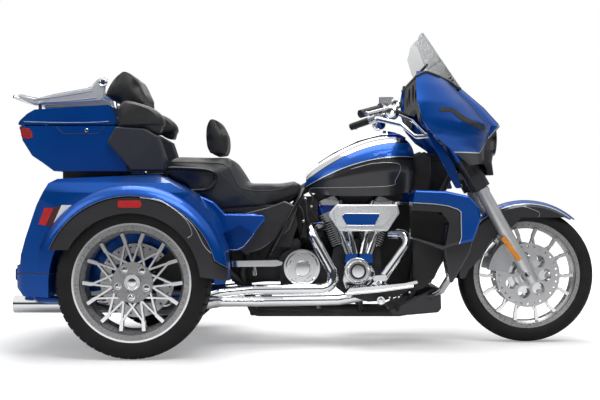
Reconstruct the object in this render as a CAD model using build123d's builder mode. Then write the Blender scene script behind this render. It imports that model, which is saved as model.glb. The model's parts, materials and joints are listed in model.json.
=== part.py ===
"""Full-dress touring trike: one steered front wheel, two driven rear wheels under a wide trunk body.

Millimetres. +X forward, +Y to the rider's left, +Z up. The origin is on the ground, midway along the
overall length and width. Names that end in _x, _y or _z are places in that frame.
"""
import math
import os

from build123d import *

# ---------------------------------------------------------------- overall size and running gear
overall_length = 2720
overall_width = 1390
wheelbase = 1776
running_gap = 1.2            # between a turning hub and its axle

front_tyre_radius = 319      # 130/60-19
front_tyre_width = 130
front_seat_radius = 241.3
front_rim_inner_width = 88
rear_tyre_radius = 325       # 215/45-18
rear_tyre_width = 215
rear_seat_radius = 228.6
rear_rim_inner_width = 190
rear_track = 1084

front_axle_x = overall_length / 2 - front_tyre_radius
rear_axle_x = front_axle_x - wheelbase
front_axle_z = front_tyre_radius
rear_axle_z = rear_tyre_radius
rear_wheel_y = rear_track / 2

# ---------------------------------------------------------------- steering
rake = 26                    # of the steering axis, degrees from upright
trail = 100
fork_angle = 29.4            # of the fork legs, degrees from upright
fork_leg_y = 118
fork_tube_radius = 24.5
slider_radius = 31
front_axle_radius = 12.7


def steer_x(z):
    """Where the steering axis is at a height."""
    return front_axle_x + trail - z * math.tan(math.radians(rake))


def fork_x(z):
    """Where the middle of a fork leg is at a height."""
    return front_axle_x - (z - front_axle_z) * math.tan(math.radians(fork_angle))


def steer_plane(z):
    """Square to the steering axis, with its local x pointing forward."""
    return Plane(
        origin=(steer_x(z), 0, z),
        x_dir=(math.cos(math.radians(rake)), 0, math.sin(math.radians(rake))),
        z_dir=(-math.sin(math.radians(rake)), 0, math.cos(math.radians(rake))),
    )


def fork_plane(along, y):
    """Square to a fork leg, that far up it from the axle, with its local x pointing forward."""
    lean = math.radians(fork_angle)
    return Plane(
        origin=(front_axle_x - along * math.sin(lean), y, front_axle_z + along * math.cos(lean)),
        x_dir=(math.cos(lean), 0, math.sin(lean)),
        z_dir=(-math.sin(lean), 0, math.cos(lean)),
    )


def fork_along(z):
    """How far up a fork leg a height is."""
    return (z - front_axle_z) / math.cos(math.radians(fork_angle))


# ---------------------------------------------------------------- shared sketches and solids
os.makedirs("parts", exist_ok=True)


made = {}


smallest_solid = 50          # cubic millimetres: less is a chip of a cut, not a piece


def keep(name, piece, *cut_by):
    """Cuts a piece by the ones it fits round, and writes it out as that node."""
    with BuildPart() as node:
        add(piece)
        for other in cut_by:
            for solid in (made[other] if isinstance(other, str) else other).solids():
                add(solid, mode=Mode.SUBTRACT)
    solids = [solid for solid in node.part.solids() if solid.volume > smallest_solid]
    made[name] = Compound(label=name, children=solids) if len(solids) > 1 else solids[0]
    made[name].label = name
    export_step(made[name], f"parts/{name}.step")


def joined(*pieces):
    """One part made of several solids that meet."""
    with BuildPart() as whole:
        for piece in pieces:
            add(piece)
    return whole.part


def mirrored(piece):
    """The piece and its twin on the other side of the centre plane."""
    with BuildPart() as pair:
        add(piece)
        mirror(about=Plane.XZ)
    return pair.part


def block(x, y, z, dx, dy, dz, corner=0):
    """A box given by its middle, with its upright corners rounded."""
    with BuildPart() as solid:
        with Locations((x, y, z)):
            Box(dx, dy, dz)
        if corner:
            fillet(solid.edges().filter_by(Axis.Z), corner)
    return solid.part


def across(outline, y_from, y_to, corner=0, edge=0):
    """A side outline of (x, z) points, solid from y_from to y_to."""
    face = side_face(outline, y_from, corner)
    with BuildPart() as slab:
        extrude(face, amount=y_from - y_to)
        if edge:
            fillet(slab.faces().filter_by(Axis.Y).edges(), edge)
    return slab.part


def along(outline, x_from, x_to, corner=0, edge=0):
    """A front outline of (y, z) points, solid from x_from forward to x_to."""
    face = front_face(outline, x_from, corner)
    with BuildPart() as slab:
        extrude(face, amount=x_to - x_from)
        if edge:
            fillet(slab.faces().filter_by(Axis.X).edges(), edge)
    return slab.part


def upward(outline, z_from, z_to, corner=0, edge=0):
    """A plan outline of (x, y) points, solid from z_from up to z_to."""
    face = plan_face(outline, z_from, corner)
    with BuildPart() as slab:
        extrude(face, amount=z_to - z_from)
        if edge:
            fillet(slab.faces().filter_by(Axis.Z).edges(), edge)
    return slab.part


def within(piece, *limits):
    """The part of a piece that lies inside every limit."""
    with BuildPart() as common:
        add(piece)
        for limit in limits:
            add(limit, mode=Mode.INTERSECT)
    return common.part


def side_face(outline, y=0, corner=0):
    """A closed outline of (x, z) points, upright at that y. It extrudes towards -Y."""
    with BuildSketch(Plane.XZ.offset(-y)) as face:
        with BuildLine():
            Polyline(*outline, close=True)
        make_face()
        if corner:
            fillet(face.vertices(), corner)
    return face.sketch


def plan_face(outline, z=0, corner=0):
    """A closed outline of (x, y) points, flat at that z. It extrudes towards +Z."""
    with BuildSketch(Plane.XY.offset(z)) as face:
        with BuildLine():
            Polyline(*outline, close=True)
        make_face()
        if corner:
            fillet(face.vertices(), corner)
    return face.sketch


def front_face(outline, x=0, corner=0):
    """A closed outline of (y, z) points, upright at that x. It extrudes towards +X."""
    with BuildSketch(Plane.YZ.offset(x)) as face:
        with BuildLine():
            Polyline(*outline, close=True)
        make_face()
        if corner:
            fillet(face.vertices(), corner)
    return face.sketch


def both_sides(half):
    """Closes a half outline of (a, b) points, a >= 0, with its mirror image in a."""
    return [(a, b) for a, b in half] + [(-a, b) for a, b in reversed(half) if a > 0]


def bent_tube(points, bend, radius, bore=0):
    """A round tube along straight runs joined by bends."""
    with BuildPart() as tube:
        with BuildLine() as path:
            FilletPolyline(*points, radius=bend)
        with BuildSketch(Plane(origin=path.line @ 0, z_dir=path.line % 0)):
            Circle(radius)
            if bore:
                Circle(bore, mode=Mode.SUBTRACT)
        sweep(path=path.line)
    return tube.part


def rod(start, end, radius, end_radius=None):
    """A round bar or cone between two points."""
    axis = Vector(*end) - Vector(*start)
    with BuildPart() as bar:
        with BuildSketch(Plane(origin=start, z_dir=axis)):
            Circle(radius)
        if end_radius:
            with BuildSketch(Plane(origin=end, z_dir=axis)):
                Circle(end_radius)
            loft()
        else:
            extrude(amount=axis.length)
    return bar.part


def wheel_plane(x, y, z):
    """Through a wheel's middle: local x is +Y along its axle and local y is up."""
    return Plane(origin=(x, y, z), x_dir=(0, 1, 0), z_dir=(1, 0, 0))


def upright(x, y, z):
    """A plane facing -Y: local x is +X and local y is up. A sketch on it extrudes towards -Y."""
    return Plane(origin=(x, y, z), x_dir=(1, 0, 0), z_dir=(0, -1, 0))


# ---------------------------------------------------------------- wheels
spoke_pairs = 7
spoke_pair_step = 360 / spoke_pairs
stem_half_angle = 10.2       # of a pair's stems, where their legs join
stem_root_half_angle = 12.5  # of a pair's stems, at the rim
leg_reach_angle = 36.5       # an outer leg lands this far round the hub from its pair
leg_width = 8
stem_width = 15
hub_leg_radius = 84
rim_wall = 9
rim_drop = 14                # depth of the well between the bead seats
flange_thickness = 8


def polar(radius, degrees):
    return (radius * math.cos(math.radians(degrees)), radius * math.sin(math.radians(degrees)))


def tyre(x, y, z, radius, width, seat, flange, between_flanges):
    """Bead, bulging sidewall and crowned tread, turned about the axle."""
    half = width / 2
    bead = between_flanges / 2
    lip = seat + flange + 3
    shoulder = radius - 0.045 * radius
    with BuildPart() as ring:
        with BuildSketch(wheel_plane(x, y, z)):
            with BuildLine():
                Polyline((-bead, lip), (-bead, seat), (bead, seat), (bead, lip))
                ThreePointArc((bead, lip), (half, (lip + shoulder) / 2), (half - 9, shoulder))
                ThreePointArc((half - 9, shoulder), (0, radius), (9 - half, shoulder))
                ThreePointArc((9 - half, shoulder), (-half, (lip + shoulder) / 2), (-bead, lip))
            make_face()
        revolve(axis=Axis((x, y, z), (0, 1, 0)))
    return ring.part


def rim(x, y, z, seat, flange, between_flanges, outward, face_at, face_depth, hub_radius, hub_from, hub_to, bore):
    """A drop-centre barrel, and a lattice of seven pairs of stems that each split into two legs.

    outward is +1 or -1, the side the spokes face. face_at is how far outward of y their outer face is.
    The hub runs from hub_from to hub_to, counted the same way.
    """
    bead = between_flanges / 2
    outer = bead + flange_thickness
    lip = seat + flange
    half = [(bead * 0.5, seat - rim_drop), (bead * 0.7, seat), (bead, seat), (bead, lip), (outer, lip),
            (outer, seat - rim_wall), (bead * 0.75, seat - rim_wall), (bead * 0.55, seat - rim_drop - rim_wall)]
    split = seat - 56
    stem_root = seat - rim_drop - rim_wall + 5
    with BuildPart() as body:
        with BuildSketch(wheel_plane(x, y, z)):
            with BuildLine():
                Polyline(*half, *[(-a, r) for a, r in reversed(half)], close=True)
            make_face()
        revolve(axis=Axis((x, y, z), (0, 1, 0)))
        with BuildSketch(upright(x, y + outward * face_at, z)):
            with BuildLine():
                for k in range(spoke_pairs):
                    middle = 90 + k * spoke_pair_step
                    for way in (-1, 1):
                        stem = polar(split, middle + way * stem_half_angle)
                        Line(stem, polar(hub_leg_radius, middle))
                        Line(stem, polar(hub_leg_radius, middle + way * leg_reach_angle))
            trace(line_width=leg_width)
            with BuildLine():
                for k in range(spoke_pairs):
                    middle = 90 + k * spoke_pair_step
                    for way in (-1, 1):
                        Line(polar(stem_root, middle + way * stem_root_half_angle),
                             polar(split - 3, middle + way * stem_half_angle))
            trace(line_width=stem_width)
            Circle(hub_radius)
        extrude(amount=outward * face_depth)
        with BuildSketch(upright(x, y + outward * hub_from, z)):
            Circle(hub_radius - 26)
        extrude(amount=outward * (hub_from - hub_to))
        with BuildSketch(upright(x, y + outward * (hub_from + 1), z)):
            Circle(bore)
        extrude(amount=outward * (hub_from + 2 - hub_to), mode=Mode.SUBTRACT)
    return body.part


def disc(x, y, z, radius, thickness, bore, holes, windows):
    """A brake disc centred on y: a drilled band and a windowed carrier."""
    with BuildPart() as plate:
        with BuildSketch(upright(x, y + thickness / 2, z)):
            Circle(radius)
            Circle(bore, mode=Mode.SUBTRACT)
            with PolarLocations(radius * 0.9, holes):
                Circle(4.5, mode=Mode.SUBTRACT)
            with PolarLocations((radius * 0.74 + bore) / 2 + 6, windows):
                Circle((radius * 0.74 - bore) / 2 - 6, mode=Mode.SUBTRACT)
        extrude(amount=thickness)
    return plate.part



# ---------------------------------------------------------------- front wheel
front_flange = 17.5
front_hub_half = 71.5
front_disc_radius = 150
front_disc_thickness = 5
disc_bore = 40
disc_side_gap = 5.5          # between a disc and its caliper
front_face_at = 36           # of the spokes, outward of the wheel's middle
front_face_depth = 24
front_hub_radius = 88
rear_hub_radius = 86

front_disc_y = front_hub_half + front_disc_thickness / 2
keep("front_tyre", tyre(front_axle_x, 0, front_axle_z, front_tyre_radius, front_tyre_width,
                        front_seat_radius, front_flange, front_rim_inner_width))
keep("front_rim", rim(front_axle_x, 0, front_axle_z, front_seat_radius, front_flange, front_rim_inner_width,
                      -1, front_face_at, front_face_depth, front_hub_radius, front_hub_half, -front_hub_half,
                      front_axle_radius + running_gap))
keep("front_discs", mirrored(disc(front_axle_x, -front_disc_y, front_axle_z, front_disc_radius,
                                  front_disc_thickness, disc_bore, 28, 7)))

# ---------------------------------------------------------------- rear wheels and axle
rear_flange = 22
rear_face_at = 74
rear_face_depth = 32
rear_disc_radius = 160
rear_disc_thickness = 8
rear_disc_inboard = 62       # of the wheel's middle
spindle_radius = 18
axle_tube_radius = 42
rear_hub_to = -(rear_disc_inboard - rear_disc_thickness / 2)
rear_disc_y = rear_wheel_y - rear_disc_inboard
axle_tube_end = rear_disc_y - 18

for side, way in (("right", -1), ("left", 1)):
    y = way * rear_wheel_y
    keep(f"rear_tyre_{side}", tyre(rear_axle_x, y, rear_axle_z, rear_tyre_radius, rear_tyre_width,
                                   rear_seat_radius, rear_flange, rear_rim_inner_width))
    keep(f"rear_rim_{side}", rim(rear_axle_x, y, rear_axle_z, rear_seat_radius, rear_flange,
                                 rear_rim_inner_width, way, rear_face_at, rear_face_depth, rear_hub_radius,
                                 rear_face_at, rear_hub_to, spindle_radius + running_gap))
    keep(f"rear_disc_{side}", disc(rear_axle_x, way * rear_disc_y, rear_axle_z, rear_disc_radius,
                                   rear_disc_thickness, disc_bore, 32, 7))

final_pulley_radius = 96
belt_y = 62
belt_width = 28
belt_thickness = 7
drive_pulley_x = -60
drive_pulley_z = 345
drive_pulley_radius = 44

with BuildPart() as axle:
    with BuildSketch(upright(rear_axle_x, axle_tube_end, rear_axle_z)):
        Circle(axle_tube_radius)
    extrude(amount=2 * axle_tube_end)
    with BuildSketch(upright(rear_axle_x, rear_wheel_y + rear_face_at - 6, rear_axle_z)):
        Circle(spindle_radius)
    extrude(amount=2 * (rear_wheel_y + rear_face_at - 6))
    with Locations((rear_axle_x, -20, rear_axle_z)):
        Sphere(88)
    with BuildSketch(upright(rear_axle_x, belt_y + belt_width / 2 + 4, rear_axle_z)):
        Circle(final_pulley_radius - 0.5)
    extrude(amount=belt_width + 8)

with BuildPart() as belt:
    with BuildSketch(upright(0, belt_y + belt_width / 2, 0)):
        with BuildLine():
            span = math.hypot(drive_pulley_x - rear_axle_x, drive_pulley_z - rear_axle_z)
            slope = math.degrees(math.atan2(drive_pulley_z - rear_axle_z, drive_pulley_x - rear_axle_x))
            splay = math.degrees(math.asin((final_pulley_radius - drive_pulley_radius) / span))
            outer = []
            for cx, cz, radius in ((rear_axle_x, rear_axle_z, final_pulley_radius),
                                   (drive_pulley_x, drive_pulley_z, drive_pulley_radius)):
                reach = radius + belt_thickness
                for turn in (90 - splay, splay - 90):
                    dx, dz = polar(reach, slope + turn)
                    outer.append((cx + dx, cz + dz))
            big_far = (rear_axle_x - final_pulley_radius - belt_thickness, rear_axle_z)
            small_far = (drive_pulley_x + drive_pulley_radius + belt_thickness, drive_pulley_z)
            Line(outer[0], outer[2])
            ThreePointArc(outer[2], small_far, outer[3])
            Line(outer[3], outer[1])
            ThreePointArc(outer[1], big_far, outer[0])
        make_face()
        offset(amount=-belt_thickness, kind=Kind.ARC, mode=Mode.SUBTRACT)
    extrude(amount=belt_width)
belt_core = rod((rear_axle_x, belt_y - 30, rear_axle_z), (rear_axle_x, belt_y + 30, rear_axle_z),
                final_pulley_radius)

# Calipers: a sector round the disc's edge, slotted for the disc.


def caliper(x, z, disc_y, thickness, disc_radius, inner, outer, reach, y_in, y_out, middle):
    """y_in and y_out are its two faces, middle its bearing from the axle in degrees."""
    with BuildPart() as body:
        with BuildSketch(upright(x, y_in, z)):
            with BuildLine():
                low, high = middle - reach / 2, middle + reach / 2
                Line(polar(inner, low), polar(outer, low))
                ThreePointArc(polar(outer, low), polar(outer, middle), polar(outer, high))
                Line(polar(outer, high), polar(inner, high))
                ThreePointArc(polar(inner, high), polar(inner, middle), polar(inner, low))
            make_face()
        extrude(amount=y_in - y_out)
        slot = thickness + 2 * disc_side_gap
        with BuildSketch(upright(x, disc_y + slot / 2, z)):
            Circle(disc_radius + disc_side_gap)
        extrude(amount=slot, mode=Mode.SUBTRACT)
    return body.part


rear_calipers = []
for way in (-1, 1):
    inboard = way * (rear_disc_y - 34)
    rear_calipers.append(caliper(rear_axle_x, rear_axle_z, way * rear_disc_y, rear_disc_thickness,
                                 rear_disc_radius, 92, 196, 44, inboard, way * (rear_disc_y + 28), 20))
    rear_calipers.append(across([(rear_axle_x, rear_axle_z - 40), (rear_axle_x + 110, rear_axle_z - 10),
                                 (rear_axle_x + 130, rear_axle_z + 60), (rear_axle_x, rear_axle_z + 50)],
                                way * (rear_disc_y - 30), way * (rear_disc_y - 18)))
keep("rear_axle", joined(axle.part, *rear_calipers))
keep("drive_belt", belt.part, belt_core)

# ---------------------------------------------------------------- fork
slider_top = fork_along(722)
tube_top = fork_along(985)
lower_clamp_z = 778
upper_clamp_z = 950
clamp_thickness = 34
stem_radius = 15
neck_radius = 31

axle_half = fork_leg_y + 26
front_axle = rod((front_axle_x, -axle_half, front_axle_z), (front_axle_x, axle_half, front_axle_z),
                 front_axle_radius)

with BuildPart() as sliders:
    for y in (-fork_leg_y, fork_leg_y):
        with BuildSketch(fork_plane(-36, y)):
            Circle(slider_radius - 4)
        with BuildSketch(fork_plane(30, y)):
            Circle(slider_radius)
        loft()
        with BuildSketch(fork_plane(30, y)):
            Circle(slider_radius)
        extrude(amount=slider_top - 30)
        with BuildSketch(fork_plane(slider_top - 22, y)):
            Circle(slider_radius + 4)
        extrude(amount=22)
keep("fork_sliders", joined(sliders.part, front_axle))

with BuildPart() as tubes:
    for y in (-fork_leg_y, fork_leg_y):
        with BuildSketch(fork_plane(slider_top, y)):
            Circle(fork_tube_radius)
        extrude(amount=tube_top - slider_top)

with BuildPart() as clamps:
    for z in (lower_clamp_z, upper_clamp_z):
        ahead = (fork_x(z) - steer_x(z)) * math.cos(math.radians(rake))
        with BuildSketch(steer_plane(z)):
            with Locations((ahead, 0)):
                SlotOverall(2 * (fork_leg_y + 40), 78, rotation=90)
        extrude(amount=clamp_thickness)
    stem_length = (upper_clamp_z - lower_clamp_z) / math.cos(math.radians(rake)) + clamp_thickness
    with BuildSketch(steer_plane(lower_clamp_z)):
        Circle(stem_radius)
    extrude(amount=stem_length)
keep("triple_clamps", joined(clamps.part, tubes.part))

bar_radius = 12.7
bar_bore = 10.3
grip_end = (237, 420, 1050)
grip_root = (350, 330, 1086)
bar_run = [grip_end, grip_root, (478, 214, 1046), (545, 165, 985), (600, 110, 985), (628, 50, 1012)]
bar_points = [(x, -y, z) for x, y, z in bar_run] + [p for p in reversed(bar_run)]
bar_tube = bent_tube(bar_points, 28, bar_radius, bar_bore)
bar_core = bent_tube(bar_points, 28, bar_radius)

riser_top = bar_run[-1][2] + 20
with BuildPart() as risers:
    for y in (-27, 27):
        with Locations((bar_run[-1][0], y, (upper_clamp_z + riser_top) / 2)):
            Box(46, 22, riser_top - upper_clamp_z)
    add(rod(bar_points[5], bar_points[6], bar_radius), mode=Mode.SUBTRACT)
keep("handlebar", joined(bar_tube, risers.part), "triple_clamps")


def along_grip(distance, side, out=0.0):
    """A point that far in from the grip's outer end, and out in front of it."""
    start, end = Vector(*grip_end), Vector(*grip_root)
    run = (end - start).normalized()
    ahead = Vector(run.Y, -run.X, 0).normalized()
    spot = start + run * distance - ahead * out if ahead.X < 0 else start + run * distance + ahead * out
    return (spot.X, side * spot.Y, spot.Z)


grip_radius = 18
grip_length = 118
housing_radius = 24
grips = []
housings = []
levers = []
for side in (-1, 1):
    grips.append(rod(along_grip(-4, side), along_grip(grip_length, side), grip_radius))
    housings.append(rod(along_grip(grip_length + 2, side), along_grip(grip_length + 44, side), housing_radius))
    housings.append(rod(along_grip(grip_length + 26, side), along_grip(grip_length + 26, side, 50), 11))
    levers.append(bent_tube([along_grip(grip_length + 30, side, 50), along_grip(grip_length - 20, side, 58),
                             along_grip(-8, side, 50)], 20, 6.5))
    levers.append(rod(along_grip(-8, side, 50), along_grip(-16, side, 50), 10))
    pot_x, pot_y, pot_z = along_grip(grip_length + 26, side, 12)
    housings.append(block(pot_x, pot_y, pot_z + housing_radius + 6, 62, 46, 28, corner=9))
keep("grips", joined(*grips), bar_core)
keep("hand_controls", joined(*housings, *levers), bar_core)

# Fork covers: the painted upper one and the bare-toned lower one round each leg.
cover_length, cover_width = 92, 72
cover_bottom = slider_top + 4
cover_split = fork_along(862)
cover_top = fork_along(1075)
for name, low, high, grow in (("fork_cover_lower", cover_bottom, cover_split, 0),
                              ("fork_cover_upper", cover_split + 1, cover_top, 4)):
    with BuildPart() as covers:
        for y in (-fork_leg_y, fork_leg_y):
            with BuildSketch(fork_plane(low, y)):
                RectangleRounded(cover_length + grow, cover_width + grow, 26)
                Circle(slider_radius + 1, mode=Mode.SUBTRACT)
            extrude(amount=high - low)
    keep(name, covers.part, "triple_clamps", bar_core)

# ---------------------------------------------------------------- front fender and calipers
fender_radius = 353
fender_half_width = 84
fender_wall = 3.5
fender_shoulder = 31         # how far the crown falls to its edges

fender_side = across([(1268, 576), (1292, 700), (1200, 780), (640, 780), (640, 304), (744, 304), (762, 343),
                      (977, 556), (1010, 590), (1240, 590)], 100, -100)
with BuildPart() as fender:
    with BuildSketch(wheel_plane(front_axle_x, 0, front_axle_z)):
        with BuildLine():
            edge_r = fender_radius - fender_shoulder
            out, inn = fender_half_width, fender_half_width - fender_wall
            ThreePointArc((out, edge_r), (0, fender_radius), (-out, edge_r))
            Polyline((-out, edge_r), (-out, 236), (-inn, 236), (-inn, edge_r - 2))
            ThreePointArc((-inn, edge_r - 2), (0, fender_radius - fender_wall), (inn, edge_r - 2))
            Polyline((inn, edge_r - 2), (inn, 236), (out, 236), (out, edge_r))
        make_face()
    revolve(axis=Axis((front_axle_x, 0, front_axle_z), (0, 1, 0)))
    add(fender_side, mode=Mode.INTERSECT)
    for y in (-1, 1):
        for z in (545, 586):
            with Locations((fork_x(z) + 4, y * (fender_half_width + 3), z)):
                Box(26, 8, 26)
keep("front_fender", fender.part, "fork_sliders")

front_calipers = []
for way in (-1, 1):
    front_calipers.append(caliper(front_axle_x, front_axle_z, way * front_disc_y, front_disc_thickness,
                                  front_disc_radius, 98, 192, 44, way * 58, way * 108, 150))
keep("front_calipers", joined(*front_calipers), "fork_sliders")

# ---------------------------------------------------------------- fairing, windshield and headlamp
fairing_wall = 5
fairing_rows = [  # z, nose x, rear x, half width at the rear
    (790, 892, 786, 176),
    (850, 884, 716, 262),
    (905, 892, 634, 346),
    (960, 912, 560, 392),
    (1018, 930, 512, 405),
    (1110, 846, 486, 400),
    (1190, 752, 484, 372),
    (1256, 676, 492, 322),
]
rim_profile = [(400, 1250), (470, 1250), (543, 1247), (728, 1209), (1000, 1150), (1000, 700), (400, 700)]


def fairing_body(inset):
    """The fairing's solid form, drawn in by a wall and then open behind and below."""
    open_by = 30 if inset else 0
    with BuildPart() as form:
        for i, (z, nose, rear, half) in enumerate(fairing_rows):
            if inset and i in (0, len(fairing_rows) - 1):
                z += math.copysign(inset, i - 1)
            with BuildSketch(Plane.XY.offset(z)):
                with BuildLine():
                    side = ((rear - open_by), half - inset)
                    shoulder = (rear + 0.58 * (nose - rear), (half - inset) * 0.70)
                    Line((rear - open_by, inset - half), side)
                    ThreePointArc(side, shoulder, (nose - inset - 60, 90))
                    ThreePointArc((nose - inset - 60, 90), (nose - inset, 0), (nose - inset - 60, -90))
                    ThreePointArc((nose - inset - 60, -90), (shoulder[0], -shoulder[1]), (side[0], -side[1]))
                make_face()
        loft(ruled=True)
    return form.part


headlamp_z = 958
headlamp_radius = 78
headlamp_back_x, headlamp_face_x = 812, 880
headlamp_dome = 14
lamp_gap = 3
fairing_solid = within(fairing_body(0), across(rim_profile, 500, -500))
fairing_void = fairing_body(fairing_wall)
lamp_hole = rod((headlamp_back_x, 0, headlamp_z), (overall_length / 2, 0, headlamp_z), headlamp_radius + lamp_gap)
keep("fairing_outer", fairing_solid, fairing_void, lamp_hole, "fork_cover_upper", "fork_cover_lower")

with BuildPart() as lamp:
    with BuildSketch(Plane.YZ.offset(headlamp_back_x)):
        with Locations((0, headlamp_z)):
            Circle(headlamp_radius)
    extrude(amount=headlamp_face_x - headlamp_back_x)
    with BuildSketch(Plane.YZ.offset(headlamp_face_x)):
        with Locations((0, headlamp_z)):
            Circle(headlamp_radius)
    extrude(amount=headlamp_dome, taper=38)
keep("headlamp", lamp.part)

dash_x = 500
dash_depth = 34
dash_outline = both_sides([(0, 1228), (318, 1228), (352, 1190), (384, 1110), (388, 1030), (330, 1022), (225, 1078),
                           (120, 1092), (0, 1092)])
dash = along(dash_outline, dash_x, dash_x + dash_depth)
gauges = [rod((dash_x - 1, y, z), (dash_x + 8, y, z), radius)
          for y, z, radius in ((-92, 1168, 46), (92, 1168, 46), (-196, 1150, 30), (196, 1150, 30))]
cowl = across([(dash_x + 1, 1222), (dash_x + 1, 1228), (760, 1184), (760, 1178)], 330, -330)
keep("fairing_inner", within(joined(dash, cowl), fairing_body(fairing_wall + 1)), bar_core, *gauges)

shield_base = Vector(728, 0, 1213)
shield_tip = Vector(556, 0, 1462)
shield_wall = 4.5


def shield_sheet(lift, bow, half):
    """A curved strip across the windshield, square to its slope, lift up it from the base."""
    slope = (shield_tip - shield_base).normalized()
    spot = shield_base + slope * lift
    face = Plane(origin=spot, x_dir=(slope.Z, 0, -slope.X), z_dir=slope)
    with BuildSketch(face) as strip:
        with BuildLine():
            ThreePointArc((-bow, -half), (0, 0), (-bow, half))
            Line((-bow, half), (-bow - shield_wall, half))
            ThreePointArc((-bow - shield_wall, half), (-shield_wall, 0), (-bow - shield_wall, -half))
            Line((-bow - shield_wall, -half), (-bow, -half))
        make_face()
    return strip.sketch


shield_length = (shield_tip - shield_base).length
shield_rows = [  # how far up its slope, bow, half width
    (-60, 172, 262),
    (shield_length * 0.45, 128, 258),
    (shield_length, 96, 250),
]
shield_strips = [shield_sheet(*row) for row in shield_rows]
with BuildPart() as shield:
    loft(shield_strips, ruled=True)
shield_front = both_sides([(0, 1462), (110, 1456), (190, 1424), (236, 1372), (250, 1300),
                           (247, 1226), (120, 1196), (0, 1192)])
keep("windshield", within(shield.part, along(shield_front, 300, 900)), "fairing_outer", "fairing_inner")

# ---------------------------------------------------------------- frame
tube_radius = 17
rail_y = 130
rail_z = 148
neck_low, neck_high = lower_clamp_z + 44, upper_clamp_z - 8
neck_plane = steer_plane(neck_low)
neck_length = (neck_high - neck_low) / math.cos(math.radians(rake))

backbone = bent_tube([(steer_x(880) - 20, 0, 872), (430, 0, 862), (120, 0, 800), (-160, 0, 640), (-232, 0, 470)],
                     70, 24)
pieces = [backbone]
for way in (-1, 1):
    pieces.append(bent_tube([(steer_x(840) - 26, way * 22, 838), (560, way * 88, 560), (500, way * 110, 240),
                             (455, way * rail_y, rail_z), (-250, way * rail_y, rail_z),
                             (-300, way * rail_y, 330), (-250, way * 90, 520), (-190, way * 6, 600)], 40, tube_radius))
    pieces.append(bent_tube([(-282, way * rail_y, 260), (-420, way * 158, 400), (-900, way * 190, 412),
                             (-1150, way * 190, 412)], 50, tube_radius))
cross_bars = [(455, rail_z, 14), (60, rail_z, 14), (-250, rail_z, 14), (-900, 412, 16)]
for x, z, radius in cross_bars:
    reach = rail_y if z == rail_z else 190
    pieces.append(rod((x, -reach, z), (x, reach, z), radius))
with BuildPart() as neck:
    with BuildSketch(neck_plane):
        Circle(neck_radius)
    extrude(amount=neck_length)
pieces.append(neck.part)
board_brackets = ((250, 262), (420, 276))      # x, z of each board's two carriers
board_y_in, board_y_out = 222, 330
for way in (-1, 1):
    for x, z in board_brackets:
        pieces.append(rod((x, way * rail_y, rail_z), (x, way * (board_y_in + 20), z - 12), 9))
stem_clearance = rod(tuple(steer_plane(neck_low - 20).origin), tuple(steer_plane(neck_high + 20).origin),
                     stem_radius + running_gap)
keep("frame", joined(*pieces), stem_clearance)

# ---------------------------------------------------------------- engine: a 45 degree V twin with cooling fins
crank_x, crank_z = 236, 348
vee_half_angle = 22.5
deck = 132                   # from the crankshaft up each bore to the crankcase's top
fin_pitch = 10.5
fin_count = 11
fin_thickness = 3.6
first_fin = 7                # above the deck
barrel_radius = 50
fin_reach, fin_wide = 75, 150
vee_gap = 3                  # left between the two barrels' fins
head_height = 46
rocker_height = 60


def bore_plane(distance, lean):
    """Square to a cylinder, that far up its bore, with its local x pointing forward."""
    turn = math.radians(lean)
    return Plane(
        origin=(crank_x + distance * math.sin(turn), 0, crank_z + distance * math.cos(turn)),
        x_dir=(math.cos(turn), 0, -math.sin(turn)),
        z_dir=(math.sin(turn), 0, math.cos(turn)),
    )


case_outline = [(330, 250), (356, 330), (350, 400), (344, 446), (236, 490), (128, 446), (118, 400), (112, 340),
                (140, 262), (180, 232), (290, 228)]
keep("crankcase", across(case_outline, 92, -92, corner=10), *pieces)

barrel_top = deck + first_fin + fin_pitch * fin_count
cylinders, rockers = [], []
for lean in (-vee_half_angle, vee_half_angle):
    outward = math.copysign(1, lean)
    with BuildPart() as barrel:
        with BuildSketch(bore_plane(deck, lean)):
            Circle(barrel_radius)
        extrude(amount=barrel_top - deck)
        for k in range(fin_count):
            up = deck + first_fin + k * fin_pitch
            inward = min(fin_reach, up * math.tan(math.radians(vee_half_angle)) - vee_gap)
            with BuildSketch(bore_plane(up, lean)):
                with Locations((outward * (fin_reach - inward) / 2, 0)):
                    RectangleRounded(fin_reach + inward, fin_wide, 28)
            extrude(amount=fin_thickness)
    cylinders.append(barrel.part)
    with BuildPart() as head:
        with BuildSketch(bore_plane(barrel_top, lean)):
            RectangleRounded(116, 128, 20)
        extrude(amount=head_height)
        for k in range(4):
            with BuildSketch(bore_plane(barrel_top + 3 + k * 11.5, lean)):
                RectangleRounded(2 * fin_reach + 4, fin_wide + 4, 34)
            extrude(amount=4.5)
    cylinders.append(head.part)
    with BuildPart() as rocker:
        with BuildSketch(bore_plane(barrel_top + head_height, lean)):
            RectangleRounded(134, 146, 26)
        extrude(amount=rocker_height * 0.45)
        with BuildSketch(bore_plane(barrel_top + head_height + rocker_height * 0.45, lean)):
            RectangleRounded(120, 132, 26)
        extrude(amount=rocker_height * 0.55, taper=12)
    rockers.append(rocker.part)
keep("cylinders", joined(*cylinders), "crankcase")
keep("rocker_boxes", joined(*rockers))

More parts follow.
